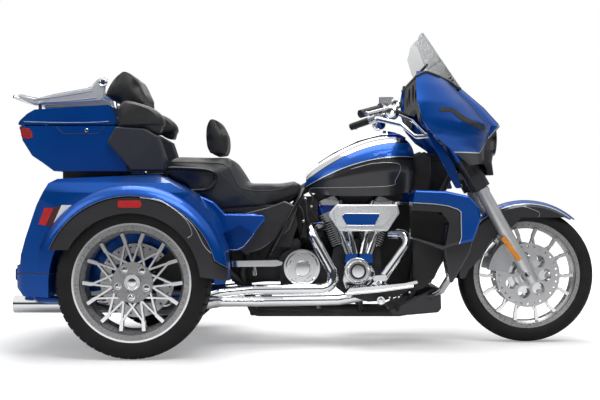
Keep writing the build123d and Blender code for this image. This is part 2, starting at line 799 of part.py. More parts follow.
# Both barrels' pushrods rise from tappet blocks over the cam cover, on the right.
cam_x, cam_z = 236, 322
tappet_z = 420
pushrods = []
tappets = []
for foot, lean, up in ((196, -17, 250), (222, -9, 250), (262, 9, 250), (290, 17, 250)):
    turn = math.radians(lean)
    low = (foot, -132, tappet_z)
    high = (foot + up * math.sin(turn), -104, tappet_z + up * math.cos(turn) * 0.83)
    pushrods.append(rod(low, high, 12))
    pushrods.append(rod(low, (low[0] + 0.28 * (high[0] - low[0]), low[1] + 0.28 * (high[1] - low[1]),
                              low[2] + 0.28 * (high[2] - low[2])), 17))
for middle in (209, 276):
    tappets.append(across([(middle - 32, tappet_z - 40), (middle + 32, tappet_z - 40), (middle + 26, tappet_z + 2),
                           (middle - 26, tappet_z + 2)], -93, -152, corner=6))
keep("tappet_blocks", joined(*tappets), "crankcase")
keep("pushrod_tubes", joined(*pushrods), "tappet_blocks", "cylinders", "rocker_boxes")

cam_outline = [(166, 300), (176, 362), (206, 384), (268, 384), (306, 362), (322, 330), (300, 290), (262, 252),
               (214, 244), (180, 262)]
cam_cover = across(cam_outline, -93, -140, corner=12, edge=6)
with BuildPart() as cam_face:
    add(cam_cover)
    with BuildSketch(upright(cam_x, -140, cam_z + 22)):
        Circle(62)
    extrude(amount=18)
    fillet(cam_face.faces().sort_by(Axis.Y)[0].edges(), 6)
    with BuildSketch(upright(cam_x, -158, cam_z + 22)):
        Circle(42)
    extrude(amount=-5, mode=Mode.SUBTRACT)

gear_outline = [(-120, 250), (-128, 400), (-96, 436), (60, 436), (92, 404), (100, 250)]
gear_left = belt_y - belt_width / 2 - 6
keep("gearbox", across(gear_outline, gear_left, -96, corner=14), "crankcase", *pieces)
clutch_x, clutch_z = -21, 358
with BuildPart() as clutch:
    with BuildSketch(upright(clutch_x, -97, clutch_z)):
        Circle(84)
    extrude(amount=30)
    with BuildSketch(upright(clutch_x, -127, clutch_z)):
        Circle(76)
    extrude(amount=22, taper=12)
    with BuildSketch(upright(clutch_x, -149, clutch_z)):
        Circle(40)
    extrude(amount=-7, mode=Mode.SUBTRACT)
    with BuildSketch(upright(clutch_x, -149, clutch_z)):
        with PolarLocations(56, 5, start_angle=90):
            SlotOverall(34, 9, rotation=90)
    extrude(amount=-7, mode=Mode.SUBTRACT)
keep("engine_covers", joined(cam_face.part, clutch.part), "tappet_blocks")

# On the left, one long cover runs from the crankshaft to the clutch.
primary_outline = [(320, 290), (330, 350), (296, 410), (230, 428), (60, 424), (-60, 452), (-150, 420), (-176, 350),
                   (-150, 286), (-60, 258), (100, 268), (250, 262)]
keep("primary_cover", across(primary_outline, 182, 93, corner=18, edge=8), *pieces)

air_outline = [(100, 606), (138, 652), (418, 652), (428, 612), (372, 528), (150, 528)]
with BuildPart() as cleaner:
    add(across(air_outline, -108, -196, corner=10, edge=8))
    add(across([(130, 556), (150, 630), (392, 630), (400, 612), (352, 552), (160, 548)], -196, -204, corner=6))
cleaner_base = across([(210, 560), (210, 620), (290, 620), (290, 560)], -60, -108)
keep("air_cleaner", joined(cleaner.part, cleaner_base), "cylinders", "rocker_boxes",
     "pushrod_tubes")

# ---------------------------------------------------------------- fuel tank, console, seat
tank_rows = [  # x, top, bottom, half width, width at the bottom
    (-14, 764, 716, 62, 48),
    (60, 846, 700, 118, 92),
    (134, 892, 692, 150, 118),
    (244, 945, 690, 168, 134),
    (354, 974, 692, 170, 138),
    (445, 972, 702, 152, 122),
    (508, 905, 742, 96, 74),
]
tunnel_half = 66
tunnel_top = 790


def tank_ring(x, top, bottom, half, low_half):
    with BuildSketch(Plane.YZ.offset(x)) as ring:
        with BuildLine():
            waist = bottom + 0.38 * (top - bottom)
            Line((-low_half, bottom), (low_half, bottom))
            Line((low_half, bottom), (half, waist))
            ThreePointArc((half, waist), (half * 0.74, waist + 0.74 * (top - waist)), (0, top))
            ThreePointArc((0, top), (-half * 0.74, waist + 0.74 * (top - waist)), (-half, waist))
            Line((-half, waist), (-low_half, bottom))
        make_face()
    return ring.sketch


tank_rings = [tank_ring(*row) for row in tank_rows]
with BuildPart() as tank:
    loft(tank_rings)
tunnel = along([(-tunnel_half, 600), (tunnel_half, 600), (tunnel_half, tunnel_top - 30), (40, tunnel_top),
                (-40, tunnel_top), (-tunnel_half, tunnel_top - 30)], -60, 560)
keep("fuel_tank", tank.part, tunnel, backbone, "rocker_boxes")

console_profile = [(-10, 772), (60, 854), (134, 902), (244, 956), (354, 985), (438, 986), (470, 968), (470, 900),
                   (-10, 740)]
console = across(console_profile, 42, -42, edge=4)
keep("tank_console", joined(console, rod((396, 0, 975), (400, 0, 996), 34)), "fuel_tank", backbone, tunnel)

seat_half = 178
rider_profile = [(-12, 764), (-120, 744), (-266, 744), (-340, 862), (-640, 868), (-658, 792), (-566, 744),
                 (-534, 680), (-404, 616), (-178, 640), (-12, 716)]
seat = across(rider_profile, seat_half, -seat_half, corner=12, edge=11)
seat_plan = upward([(-14, -66), (-14, 66), (-90, 120), (-180, 168), (-230, 180),
                   (-680, 180), (-680, -180), (-230, -180), (-180, -168), (-90, -120)], 600, 900)
keep("seat", within(seat, seat_plan), "fuel_tank", "tank_console", *pieces)

keep("rider_backrest", across([(-458, 884), (-467, 973), (-463, 1051), (-442, 1058), (-420, 1055), (-365, 973),
                               (-363, 905), (-376, 876)], 112, -112, corner=7, edge=6), "seat")

rail_run = [(-414, 742), (-440, 800), (-560, 806), (-585, 770), (-540, 722), (-440, 716)]
rails = []
for way in (-1, 1):
    run = [(x, way * (seat_half + 14), z) for x, z in rail_run]
    rails.append(bent_tube([run[0], *run[1:], (-414, way * (seat_half + 14), 736)], 12, 8))
    for x, z in ((-440, 796), (-540, 730)):
        rails.append(rod((x, way * (seat_half - 24), z), (x, way * (seat_half + 14), z), 6))
keep("grab_rails", joined(*rails), "seat")

battery_outline = [(-290, 462), (-76, 452), (-40, 560), (-60, 634), (-300, 606)]
keep("battery_box", across(battery_outline, 118, -118, corner=10), "seat", "gearbox", *pieces)

cover_outline = [(-282, 420), (-204, 446), (-76, 534), (-39, 640), (-100, 668), (-172, 640), (-330, 600), (-345, 470)]
side_covers = mirrored(across(cover_outline, -150, -196, corner=10, edge=8))
keep("side_covers", side_covers, "seat", "gearbox", "battery_box", *pieces)

# ---------------------------------------------------------------- lower fairings, guard, chin
lower_in, lower_out = 236, 402
bowl_outline = [(478, 716), (466, 664), (466, 500), (596, 452), (640, 468), (735, 492), (770, 591),
                (760, 640), (715, 690), (613, 712)]
recess_outline = [(440, 626), (592, 617), (627, 572), (608, 470), (440, 516)]
recess_depth = 64
leg_outline = [(618, 560), (607, 464), (640, 290), (660, 323), (725, 435), (768, 590), (700, 600)]
bowls, legs = [], []
for way in (-1, 1):
    hollow = across([(440, 700), (440, 672), (525, 650), (630, 590), (652, 500), (722, 508), (755, 592), (705, 678),
                     (615, 698)], way * (lower_out - 10), way * (lower_in + 10), corner=8)
    with BuildPart() as bowl:
        add(across(bowl_outline, way * lower_out, way * lower_in, corner=12, edge=12))
        add(hollow, mode=Mode.SUBTRACT)
        add(across(recess_outline, way * (lower_out + 10), way * (lower_out - recess_depth), corner=12),
            mode=Mode.SUBTRACT)
    with BuildPart() as leg:
        add(across(leg_outline, way * (lower_out - 46), way * (lower_in + 2), corner=8, edge=8))
        add(bowl.part, mode=Mode.SUBTRACT)
        add(hollow, mode=Mode.SUBTRACT)
    bowls.append(bowl.part)
    legs.append(leg.part)
keep("lower_fairings", joined(*bowls))
keep("lower_fairing_legs", joined(*legs))

guard_run = [(560, 118, 214), (612, 250, 262), (640, 332, 330), (664, 332, 446), (668, 330, 486)]
guards = [bent_tube([(x, way * y, z) for x, y, z in guard_run], 34, 15.9) for way in (-1, 1)]
keep("engine_guard", joined(*guards), "lower_fairings", "lower_fairing_legs", *pieces)

chin_profile = [(378, 166), (400, 132), (610, 150), (626, 168), (623, 262), (590, 268), (433, 192)]
keep("chin_spoiler", across(chin_profile, 150, -150, corner=10, edge=10), "engine_guard", *pieces)

cooler_fins = 9
with BuildPart() as cooler:
    add(block(560, 0, 400, 22, 176, 214, corner=4))
    with Locations(*[(574, 0, 305 + k * 190 / (cooler_fins - 1)) for k in range(cooler_fins)]):
        Box(20, 168, 5)
keep("oil_cooler", cooler.part, "chin_spoiler", "engine_guard", *pieces)

# ---------------------------------------------------------------- boards and foot controls
board_profile = [(176, 258), (190, 276), (440, 300), (492, 312), (498, 300), (445, 284), (200, 254)]
rear_board_profile = [(-364, 384), (-352, 400), (-130, 404), (-106, 394), (-112, 382), (-140, 376), (-350, 374)]
boards, rear_boards = [], []
for way in (-1, 1):
    boards.append(across(board_profile, way * board_y_in, way * board_y_out, corner=4))
    rear_boards.append(across(rear_board_profile, way * 240, way * 345, corner=4))
    rear_boards.append(rod((-240, way * (rail_y + 10), 330), (-240, way * 262, 380), 11))
keep("footboards", joined(*boards, *rear_boards), "chin_spoiler", *pieces)

brake_pedal = [bent_tube([(180, -168, 236), (300, -172, 244), (338, -250, 300)], 20, 8),
               across([(300, 308), (306, 330), (356, 336), (366, 314), (350, 306)], -232, -286, corner=4),
               rod((338, -250, 296), (334, -256, 314), 8)]
shifter = [rod((300, 186, 330), (300, 290, 330), 8), bent_tube([(420, 262, 352), (300, 262, 336), (190, 262, 340)],
                                                            20, 8),
           rod((420, 240, 352), (420, 300, 352), 11), rod((190, 240, 340), (190, 300, 340), 11)]
keep("foot_controls", joined(*brake_pedal, *shifter), "footboards", "primary_cover", *pieces)

# ---------------------------------------------------------------- exhausts
muffler_y = 384
muffler_radius = 38
pipe_radius = 24
pipe_wall = 2
rear_exhaust = [(74, -84, 548), (20, -140, 544), (26, -176, 512), (118, -192, 345), (126, -200, 282),
                (70, -210, 264), (-250, -214, 262), (-400, -250, 250), (-500, -310, 226)]
front_exhaust = [(392, -84, 512), (452, -120, 512), (472, -150, 474), (344, -188, 300), (286, -202, 236),
                 (150, -206, 214), (-200, -210, 208), (-420, -260, 212)]
left_exhaust = [(-180, -130, 240), (-200, 0, 230), (-230, 180, 226), (-420, 260, 214)]
systems, tip_bores = [], []
for runs, way in (((rear_exhaust, front_exhaust), -1), ((left_exhaust,), 1)):
    solids = [bent_tube(run, 46, pipe_radius) for run in runs]
    solids.append(rod((-400, way * 248, 214), (-540, way * muffler_y, 212), 30, muffler_radius))
    muffler = bent_tube([(-470, way * (muffler_y - 60), 212), (-600, way * muffler_y, 212),
                         (-1290, way * muffler_y, 212)], 60, muffler_radius)
    systems += [*solids, muffler]
    tip_bores.append(rod((-1300, way * muffler_y, 212), (-1190, way * muffler_y, 212), muffler_radius - 4))
keep("exhausts", joined(*systems), *tip_bores, "crankcase", "cylinders", "engine_covers", "footboards",
     "foot_controls", "gearbox", "primary_cover", *pieces)

# ---------------------------------------------------------------- rear body: trunk with its two fenders
lamp_stand = 4               # of the side lamps, out of the surface behind them
body_half = overall_width / 2 - lamp_stand
trunk_side = 646             # half width of the trunk, whose sides stand in from the fenders' faces
fender_in = 560              # where each fender's band runs into the trunk
fender_crown = 412           # radius of the crown over each rear wheel
fender_roll = 58             # how far the crown rolls over to the outer face
arch_clearance = 22          # round the rear tyre, inside the fender
tyre_side_gap = 10.5         # between the rear tyre's sidewall and the fender's lip
lip_opening = 292            # radius of the wheel opening in the outer face
arch_in = 420
arch_out = rear_wheel_y + rear_tyre_width / 2 + tyre_side_gap
trunk_floor_z = 448
trunk_half = 396

body_outline = [(-1224, 300), (-1238, 340), (-1240, 384), (-1228, 396), (-1210, 402), (-1206, 440), (-1132, 650),
                (-1086, 742), (-1060, 762), (-660, 784), (-620, 768), (-490, 700), (-400, 612), (-346, 470),
                (-332, 340), (-350, 320), (-1050, 262), (-1192, 268)]
body_form = across(body_outline, trunk_side, -trunk_side)
shoulders = along(both_sides([(trunk_side, 200), (trunk_side, 706), (628, 744), (560, 766), (300, 800)]), -1300, -300)
rear_rounding = upward([(-1244, -500), (-1244, 500), (-1226, 590), (-1180, 636), (-1120, trunk_side),
                        (-300, trunk_side), (-300, -trunk_side), (-1120, -trunk_side), (-1180, -636),
                        (-1226, -590)], 200, 900)
fender_limits = across([(-1170, 465), (-1170, 760), (-300, 760), (-300, 332), (-440, 352), (-560, 465)], 720, -720)
fenders, wells = [], []
for way in (-1, 1):
    with BuildPart() as band:
        with BuildSketch(wheel_plane(rear_axle_x, 0, rear_axle_z)):
            with BuildLine():
                face_y, roll_y = way * body_half, way * (body_half - fender_roll)
                Polyline((roll_y, fender_crown), (way * fender_in, fender_crown), (way * fender_in, lip_opening),
                         (face_y, lip_opening), (face_y, fender_crown - fender_roll))
                ThreePointArc((face_y, fender_crown - fender_roll),
                              (way * (body_half - 0.29 * fender_roll), fender_crown - 0.29 * fender_roll),
                              (roll_y, fender_crown))
            make_face()
        revolve(axis=Axis((rear_axle_x, 0, rear_axle_z), (0, 1, 0)))
    fenders.append(within(band.part, fender_limits))
    wells.append(rod((rear_axle_x, way * arch_in, rear_axle_z), (rear_axle_x, way * arch_out, rear_axle_z),
                     rear_tyre_radius + arch_clearance))
    wells.append(rod((rear_axle_x, way * (arch_out - 20), rear_axle_z), (rear_axle_x, way * 720, rear_axle_z),
                     lip_opening))
    wells.append(block(rear_axle_x, way * (arch_in + arch_out) / 2, 160,
                       2 * (rear_tyre_radius + arch_clearance), arch_out - arch_in, 330))
trunk_profile = [(-1300, 466), (-1300, 700), (-1118, 700), (-1072, 742), (-664, 764), (-572, 722), (-552, trunk_floor_z),
                 (-1186, trunk_floor_z), (-1196, 466)]
trunk_void = across(trunk_profile, trunk_half, -trunk_half)
underside = across([(-1196, 180), (-1196, 400), (-1100, 436), (-552, 436), (-300, 560), (-200, 500), (-200, 180)],
                   arch_in - 12, 12 - arch_in)
door_low, door_high = 466, 716
door_half = 330
door_taper = 30
door_way = along(both_sides([(door_half, door_low), (door_half - door_taper, door_high)]), -1400, -1100)
trunk_inside = along(both_sides([(trunk_half, 400), (trunk_half, 800)]), -1112, -400)
trunk_void = within(trunk_void, joined(door_way, trunk_inside))
apron = across([(-500, 700), (-420, 664), (-366, 608), (-196, 604), (-184, 588), (-282, 462), (-500, 462)],
               -214, -300, corner=8, edge=8)
keep("rear_body", joined(within(body_form, shoulders, rear_rounding), *fenders, mirrored(apron)), trunk_void,
     underside, *wells, "seat", "grab_rails", "side_covers", "battery_box", "rear_axle", *pieces)

# ---------------------------------------------------------------- lamps, bumper, plate
side_lamp = across([(-1122, 570), (-1097, 639), (-1062, 639), (-1023, 651), (-975, 651), (-1055, 560)],
                   -trunk_side + 2, -trunk_side - lamp_stand)
side_reflector = across([(-786, 652), (-780, 670), (-690, 670), (-684, 652), (-690, 640), (-780, 640)],
                        -body_half, -overall_width / 2)
tail_lamp = across([(-1185, 520), (-1142, 640), (-1120, 640), (-1160, 520)], -452, -606, corner=3)
keep("rear_lamps", mirrored(joined(side_lamp, side_reflector, tail_lamp)), "rear_body")
bumper_bar = across([(-1240, 306), (-1262, 330), (-1262, 372), (-1244, 386), (-1232, 386), (-1222, 306)], 480, -480)
plate_bolt_y = 89
plate_bolt_z = 425
plate = across([(-1266, 310), (-1262, 310), (-1262, 372), (-1270, 450), (-1274, 450)], 100, -100)
plate_bolts = [rod((-1300, y, plate_bolt_z), (-1240, y, plate_bolt_z), 3.5) for y in (-plate_bolt_y, plate_bolt_y)]
keep("rear_bumper", joined(bumper_bar, plate), "rear_body", *plate_bolts)

# ---------------------------------------------------------------- trunk door
door_gap = 5
door_profile = [(-1214, door_low + door_gap), (-1204, door_low + door_gap), (-1120, door_high - door_gap),
                (-1130, door_high - door_gap)]
door_solid = across(door_profile, door_half, -door_half)
door_face = along(both_sides([(door_half - door_gap, door_low), (door_half - door_taper - door_gap, door_high)]),
                  -1400, -1100)
keep("trunk_door", within(door_solid, door_face))

# ---------------------------------------------------------------- luggage box, its lid, rack and rests
box_half = 292
box_wall = 5
lid_gap = 6
seam_z = 1006
box_profile = [(-1302, seam_z), (-1285, 941), (-1237, 872), (-1186, 838), (-1138, 802), (-806, 802), (-862, seam_z)]
box_void = [(-1290, seam_z + 10), (-1275, 944), (-1230, 880), (-1180, 845), (-1136, 810), (-818, 810),
            (-872, seam_z + 10)]
box_plan = upward([(-1330, -200), (-1300, -262), (-1230, -box_half), (-796, -box_half), (-796, box_half),
                   (-1230, box_half), (-1300, 262), (-1330, 200)], 700, 1200, corner=18)
void_plan = upward([(-1320, -196), (-1292, -256), (-1227, box_wall - box_half), (-804, box_wall - box_half),
                    (-804, box_half - box_wall), (-1227, box_half - box_wall), (-1292, 256), (-1320, 196)],
                   700, 1200, corner=14)
box_form = within(across(box_profile, 320, -320), box_plan)
keep("luggage_box", box_form, within(across(box_void, 310, -310), void_plan))

lid_z = seam_z + lid_gap
lid_profile = [(-1304, lid_z), (-1315, 1020), (-1262, 1062), (-1224, 1080), (-895, 1101), (-868, 1060), (-862, lid_z)]
lid_void = [(-1290, lid_z - 8), (-1300, 1020), (-1255, 1056), (-1220, 1074), (-899, 1095), (-876, 1058),
            (-869, lid_z - 8)]
keep("luggage_lid", within(across(lid_profile, 320, -320), box_plan),
     within(across(lid_void, 310, -310), void_plan))

support = []
for way in (-1, 1):
    support.append(across([(-1120, 770), (-1120, 802), (-860, 802), (-860, 786)], way * 150, way * 190))
keep("luggage_mount", joined(*support), "rear_body", "luggage_box", "seat")

pod_outline = [(-856, 1001), (-894, 932), (-787, 803), (-642, 803), (-631, 854), (-666, 958), (-726, 992)]
keep("speaker_pods", mirrored(across(pod_outline, -222, -326, corner=8, edge=8)), box_form, "seat")

arm_outline = [(-846, 986), (-846, 1092), (-800, 1090), (-690, 1052), (-640, 1018), (-652, 968)]
keep("armrests", mirrored(across(arm_outline, -226, -322, corner=6, edge=6)), "speaker_pods", "luggage_box")

rest_profile = [(-937, 1143), (-912, 1200), (-876, 1252), (-842, 1274), (-814, 1266), (-790, 1236), (-762, 1176),
                (-733, 1108), (-848, 1104), (-856, 1130), (-900, 1140)]
keep("passenger_backrest", across(rest_profile, 190, -190, corner=5, edge=10), "luggage_lid")

rack_rail_radius = 9
rack_end = rack_rail_radius - overall_length / 2
rack_rail = [(-930, 150, 1112), (-945, 172, 1168), (-1227, 178, 1120), (rack_end, 150, 1150)]
rack = []
for way in (-1, 1):
    rack.append(bent_tube([(x, way * y, z) for x, y, z in rack_rail], 22, rack_rail_radius))
    rack.append(rod((-1227, way * 176, 1118), (-1227, way * 176, 1074), 8))
rack.append(rod((rack_end, -150, 1150), (rack_end, 150, 1150), rack_rail_radius))
for y in (-105, -52, 0, 52, 105):
    rack.append(rod((rack_end, y, 1150), (-1227, y, 1120), 5))
    rack.append(rod((-1227, y, 1120), (-945, y, 1168), 5))
rack.append(rod((-1227, -176, 1120), (-1227, 176, 1120), 6))
rack.append(rod((-945, -172, 1168), (-945, 172, 1168), 6))
keep("luggage_rack", joined(*rack), "luggage_lid", "passenger_backrest")
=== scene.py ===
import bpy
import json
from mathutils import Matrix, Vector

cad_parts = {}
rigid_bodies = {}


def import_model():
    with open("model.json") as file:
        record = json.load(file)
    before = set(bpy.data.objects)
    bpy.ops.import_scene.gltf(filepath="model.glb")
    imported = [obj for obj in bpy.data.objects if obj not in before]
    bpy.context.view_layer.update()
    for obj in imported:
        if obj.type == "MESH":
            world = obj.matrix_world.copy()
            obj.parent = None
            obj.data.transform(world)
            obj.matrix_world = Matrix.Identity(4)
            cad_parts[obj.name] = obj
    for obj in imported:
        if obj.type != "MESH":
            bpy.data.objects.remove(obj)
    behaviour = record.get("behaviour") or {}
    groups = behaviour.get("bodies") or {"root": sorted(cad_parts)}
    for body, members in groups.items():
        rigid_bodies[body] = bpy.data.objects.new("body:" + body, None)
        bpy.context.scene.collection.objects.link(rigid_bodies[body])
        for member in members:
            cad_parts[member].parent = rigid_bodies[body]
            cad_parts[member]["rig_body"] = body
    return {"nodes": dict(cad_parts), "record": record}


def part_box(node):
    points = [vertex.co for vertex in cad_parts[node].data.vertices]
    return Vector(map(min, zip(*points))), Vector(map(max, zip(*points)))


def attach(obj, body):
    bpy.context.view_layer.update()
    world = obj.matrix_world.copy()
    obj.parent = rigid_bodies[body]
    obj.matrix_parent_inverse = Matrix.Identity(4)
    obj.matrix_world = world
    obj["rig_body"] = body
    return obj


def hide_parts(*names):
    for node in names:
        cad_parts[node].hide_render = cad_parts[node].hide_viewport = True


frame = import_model()
"""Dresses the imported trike: paint, chrome, tyres, seats, lamps, small fittings. Metres, in the row frame."""
import json
import math

import bmesh
import bpy
from mathutils import Vector, geometry
from mathutils.bvhtree import BVHTree

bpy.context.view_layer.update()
node = frame["nodes"]

# ---- places taken from the frame
front_low, front_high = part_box("front_tyre")
rear_low, rear_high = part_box("rear_tyre_right")
front_axle = Vector(((front_low[0] + front_high[0]) / 2, 0, (front_low[2] + front_high[2]) / 2))
rear_axle = Vector(((rear_low[0] + rear_high[0]) / 2, 0, (rear_low[2] + rear_high[2]) / 2))
rear_wheel_y = abs(rear_low[1] + rear_high[1]) / 2


# ---- material kit
class Tree:
    """A short way to build a node tree."""

    def __init__(self, tree):
        self.tree = tree

    def add(self, kind, inputs=None, **settings):
        made = self.tree.nodes.new(kind)
        for key, value in settings.items():
            setattr(made, key, value)
        for key, value in (inputs or {}).items():
            self.feed(made.inputs[key], value)
        return made

    def feed(self, socket, value):
        if isinstance(value, bpy.types.NodeSocket):
            self.tree.links.new(value, socket)
        else:
            socket.default_value = value

    def math(self, operation, a, b=0.0, c=0.0):
        return self.add("ShaderNodeMath", {0: a, 1: b, 2: c}, operation=operation).outputs[0]

    def rest(self, share):
        """What is left of 1."""
        return self.math("SUBTRACT", 1.0, share)

    def between(self, factor, low, high):
        """Scales a 0 to 1 value to that range."""
        inputs = {"Value": factor, "To Min": low, "To Max": high}
        return self.add("ShaderNodeMapRange", inputs).outputs["Result"]

    def ramp(self, factor, *stops):
        """A colour for each part of the factor's range, from (position, colour) pairs."""
        made = self.add("ShaderNodeValToRGB", {"Fac": factor})
        row = made.color_ramp.elements
        while len(row) < len(stops):
            row.new(0.5)
        for element, (position, colour) in zip(row, stops):
            element.position = position
            element.color = (*colour, 1)
        return made.outputs["Color"]

    def mix(self, factor, a, b):
        made = self.add("ShaderNodeMix", {"Factor": factor}, data_type="RGBA")
        for socket, colour in ((made.inputs[6], a), (made.inputs[7], b)):
            self.feed(socket, colour if isinstance(colour, bpy.types.NodeSocket) else (*colour, 1))
        return made.outputs[2]

    def seen_directly(self):
        """1 for camera rays and for rays that came through glass."""
        path = self.add("ShaderNodeLightPath").outputs
        return self.math("MAXIMUM", path["Is Camera Ray"], path["Is Transmission Ray"])


class Nodes(Tree):
    """One material, with its patterns laid out in the object's own frame."""

    def __init__(self, name):
        self.material = bpy.data.materials.new(name)
        self.material.use_nodes = True
        super().__init__(self.material.node_tree)
        self.shader = self.tree.nodes["Principled BSDF"]
        self.place = self.add("ShaderNodeTexCoord").outputs["Object"]

    def set(self, **inputs):
        for key, value in inputs.items():
            self.feed(self.shader.inputs[key.replace("_", " ")], value)
        return self.material

    def noise(self, scale, detail):
        inputs = {"Vector": self.place, "Scale": scale, "Detail": detail, "Roughness": 0.55}
        return self.add("ShaderNodeTexNoise", inputs).outputs["Fac"]

    def uneven(self, scale, detail, low, high):
        """A value that wanders in that range."""
        return self.between(self.noise(scale, detail), low, high)

    def clouds(self, scale, detail, low, high, top=0.8):
        """Clouds between two colours."""
        return self.ramp(self.noise(scale, detail), (0.3, low), (top, high))

    def bump(self, height, distance, strength):
        inputs = {"Height": height, "Distance": distance, "Strength": strength}
        return self.add("ShaderNodeBump", inputs).outputs["Normal"]

    def grain(self, scale, detail, distance, strength):
        return self.bump(self.noise(scale, detail), distance, strength)

    def pores(self):
        """The small cells of leather, 0 in the creases between them."""
        inputs = {"Vector": self.place, "Scale": 420.0}
        cells = self.add("ShaderNodeTexVoronoi", inputs, feature="DISTANCE_TO_EDGE")
        return self.math("MINIMUM", cells.outputs["Distance"], 0.14)

    def waves(self, value, pitch):
        return self.math("SINE", self.math("MULTIPLY", value, pitch))

    def axes(self):
        split = self.add("ShaderNodeSeparateXYZ", {"Vector": self.place})
        return split.outputs[0], split.outputs[1], split.outputs[2]

    def length(self, *parts):
        total = 0.0
        for part in parts:
            total = self.math("MULTIPLY_ADD", part, part, total)
        return self.math("SQRT", total)

    def from_axle(self, centre):
        """Distance from a wheel's axis."""
        x, _, z = self.axes()
        return self.length(self.math("SUBTRACT", x, centre.x), self.math("SUBTRACT", z, centre.z))

    def over(self, value, limit, width=0.0006):
        """1 where the value is above the limit, 0 below it, with a short ramp between."""
        inputs = {"Value": value, "From Min": limit - width, "From Max": limit + width}
        return self.add("ShaderNodeMapRange", inputs).outputs["Result"]

    def facing(self):
        """How far the surface faces sideways, 0 to 1, in the object's own frame."""
        normal = self.add("ShaderNodeTexCoord").outputs["Normal"]
        return self.math("ABSOLUTE", self.add("ShaderNodeSeparateXYZ", {"Vector": normal}).outputs[1])

    def above_arc(self, bend, slope, base):
        """Height over the line z = base + slope x + bend x squared."""
        x, _, z = self.axes()
        straight = self.math("MULTIPLY_ADD", x, slope, base)
        curve = self.math("MULTIPLY_ADD", self.math("MULTIPLY", x, x), bend, straight)
        return self.math("SUBTRACT", z, curve)

    def convex(self, *corners):
        """Distance in x and z from a convex outline, above 0 outside it."""
        x, _, z = self.axes()
        worst = -9.0
        for (x0, z0), (x1, z1) in zip(corners, corners[1:] + corners[:1]):
            run = math.hypot(x1 - x0, z1 - z0)
            nx, nz = (z0 - z1) / run, (x1 - x0) / run
            side = self.math("MULTIPLY_ADD", x, nx, self.math("MULTIPLY_ADD", z, nz, -nx * x0 - nz * z0))
            worst = self.math("MAXIMUM", worst, side)
        return worst


def paint_surface(n, colour, deep):
    """Flake paint: a noisy metallic colour under a clear coat with a faint ripple."""
    return n.mix(n.uneven(900, 2, 0.0, 0.35), n.mix(n.uneven(3, 2, 0.0, 0.5), colour, deep), deep)


def finish_paint(n, colour, metallic=0.6, roughness=0.3):
    return n.set(Base_Color=colour, Metallic=metallic, Specular_IOR_Level=0.2, Coat_Weight=0.45,
        Coat_Roughness=0.03, Roughness=n.uneven(40, 3, roughness - 0.03, roughness + 0.05),
        Normal=n.grain(260, 2, 0.0002, 0.25))


BLUE, DEEP_BLUE = (0.0, 0.105, 0.47), (0.0, 0.013, 0.18)
GREY, DEEP_GREY = (0.06, 0.06, 0.066), (0.03, 0.03, 0.034)
BLACK, DEEP_BLACK = (0.01, 0.01, 0.011), (0.004, 0.004, 0.004)
SILVER = (0.62, 0.64, 0.66)


def painted(name, colour, deep, metallic=0.6, roughness=0.3):
    n = Nodes(name)
    return finish_paint(n, paint_surface(n, colour, deep), metallic, roughness)


def two_tone(name, border, stripe, dark, hollow=None, bright=None):
    """Blue above the border's zero line and grey below it, with a silver stripe along it and a band of painted
    shade on the grey side just under it.
    """
    n = Nodes(name)
    line = border(n)
    colour = n.mix(n.over(line, 0.0), paint_surface(n, GREY, DEEP_GREY), paint_surface(n, BLUE, DEEP_BLUE))
    # Painted shade: the grey just under the border is darkened to deep black.
    painted_shade = n.math("MULTIPLY", n.over(line, -dark, dark * 0.6), n.over(n.math("MULTIPLY", line, -1.0), 0.0))
    colour = n.mix(painted_shade, colour, DEEP_BLACK)
    band = n.over(n.math("MULTIPLY", n.math("ABSOLUTE", line), -1.0), -stripe)
    colour = n.mix(band, colour, SILVER)
    if hollow:
        colour = n.mix(n.over(n.convex(*hollow), 0.002), BLACK, colour)
    if bright:
        line = bright(n)
        plated = n.over(line, 0.0)
        plate = n.mix(plated, colour, (0.6, 0.61, 0.63))
        colour = n.mix(n.over(n.math("ABSOLUTE", line), 0.002), DEEP_BLACK, plate)
        finish_paint(n, colour, n.math("MULTIPLY_ADD", plated, 0.4, 0.6))
        return n.set(Roughness=n.math("MULTIPLY_ADD", plated, -0.22, n.uneven(40, 3, 0.27, 0.35)))
    return finish_paint(n, colour)


def tank_top(n):
    """The plated strip on the crown of the tank, beside the console."""
    return n.above_arc(-0.864, 0.7856, 0.763)


def tank_border(n):
    return n.above_arc(-0.68, 0.614, 0.735)


def rear_border(n):
    """The grey lip of the rear fenders, which widens into the foot at its front end."""
    _, y, _ = n.axes()
    ring = n.math("SUBTRACT", n.from_axle(rear_axle), 0.364)
    foot = n.convex((-0.6, 0.2), (-0.6, 0.5), (-0.427, 0.448), (-0.409, 0.437), (-0.15, 0.437),
        (-0.15, 0.2))
    outside = n.math("MULTIPLY", n.math("SUBTRACT", 0.652, n.math("ABSOLUTE", y)), 4.0)
    return n.math("MAXIMUM", n.math("MINIMUM", ring, foot), outside)


def side_border(n):
    """The rear body's blue wing carries on over the rear of each side cover."""
    inside = n.convex((-0.6, 0.3), (-0.6, 0.602), (-0.215, 0.602), (-0.196, 0.592), (-0.197, 0.57),
        (-0.289, 0.445), (-0.33, 0.424), (-0.4, 0.3))
    return n.math("MULTIPLY", inside, -1.0)


def fairing_border(n):
    x, _, z = n.axes()
    ahead = n.math("MAXIMUM", n.math("SUBTRACT", x, 0.787), 0.0)
    return n.math("SUBTRACT", n.math("SUBTRACT", z, 0.886), n.math("MULTIPLY", ahead, 1.13))


def front_fender_border(n):
    return n.math("SUBTRACT", n.from_axle(front_axle), 0.335)


def lower_fairing_border(n):
    return n.convex((0.4, 0.4), (0.4, 0.664), (0.466, 0.66), (0.56, 0.655), (0.621, 0.646), (0.665, 0.631),
        (0.694, 0.606), (0.702, 0.577), (0.681, 0.508), (0.683, 0.4))


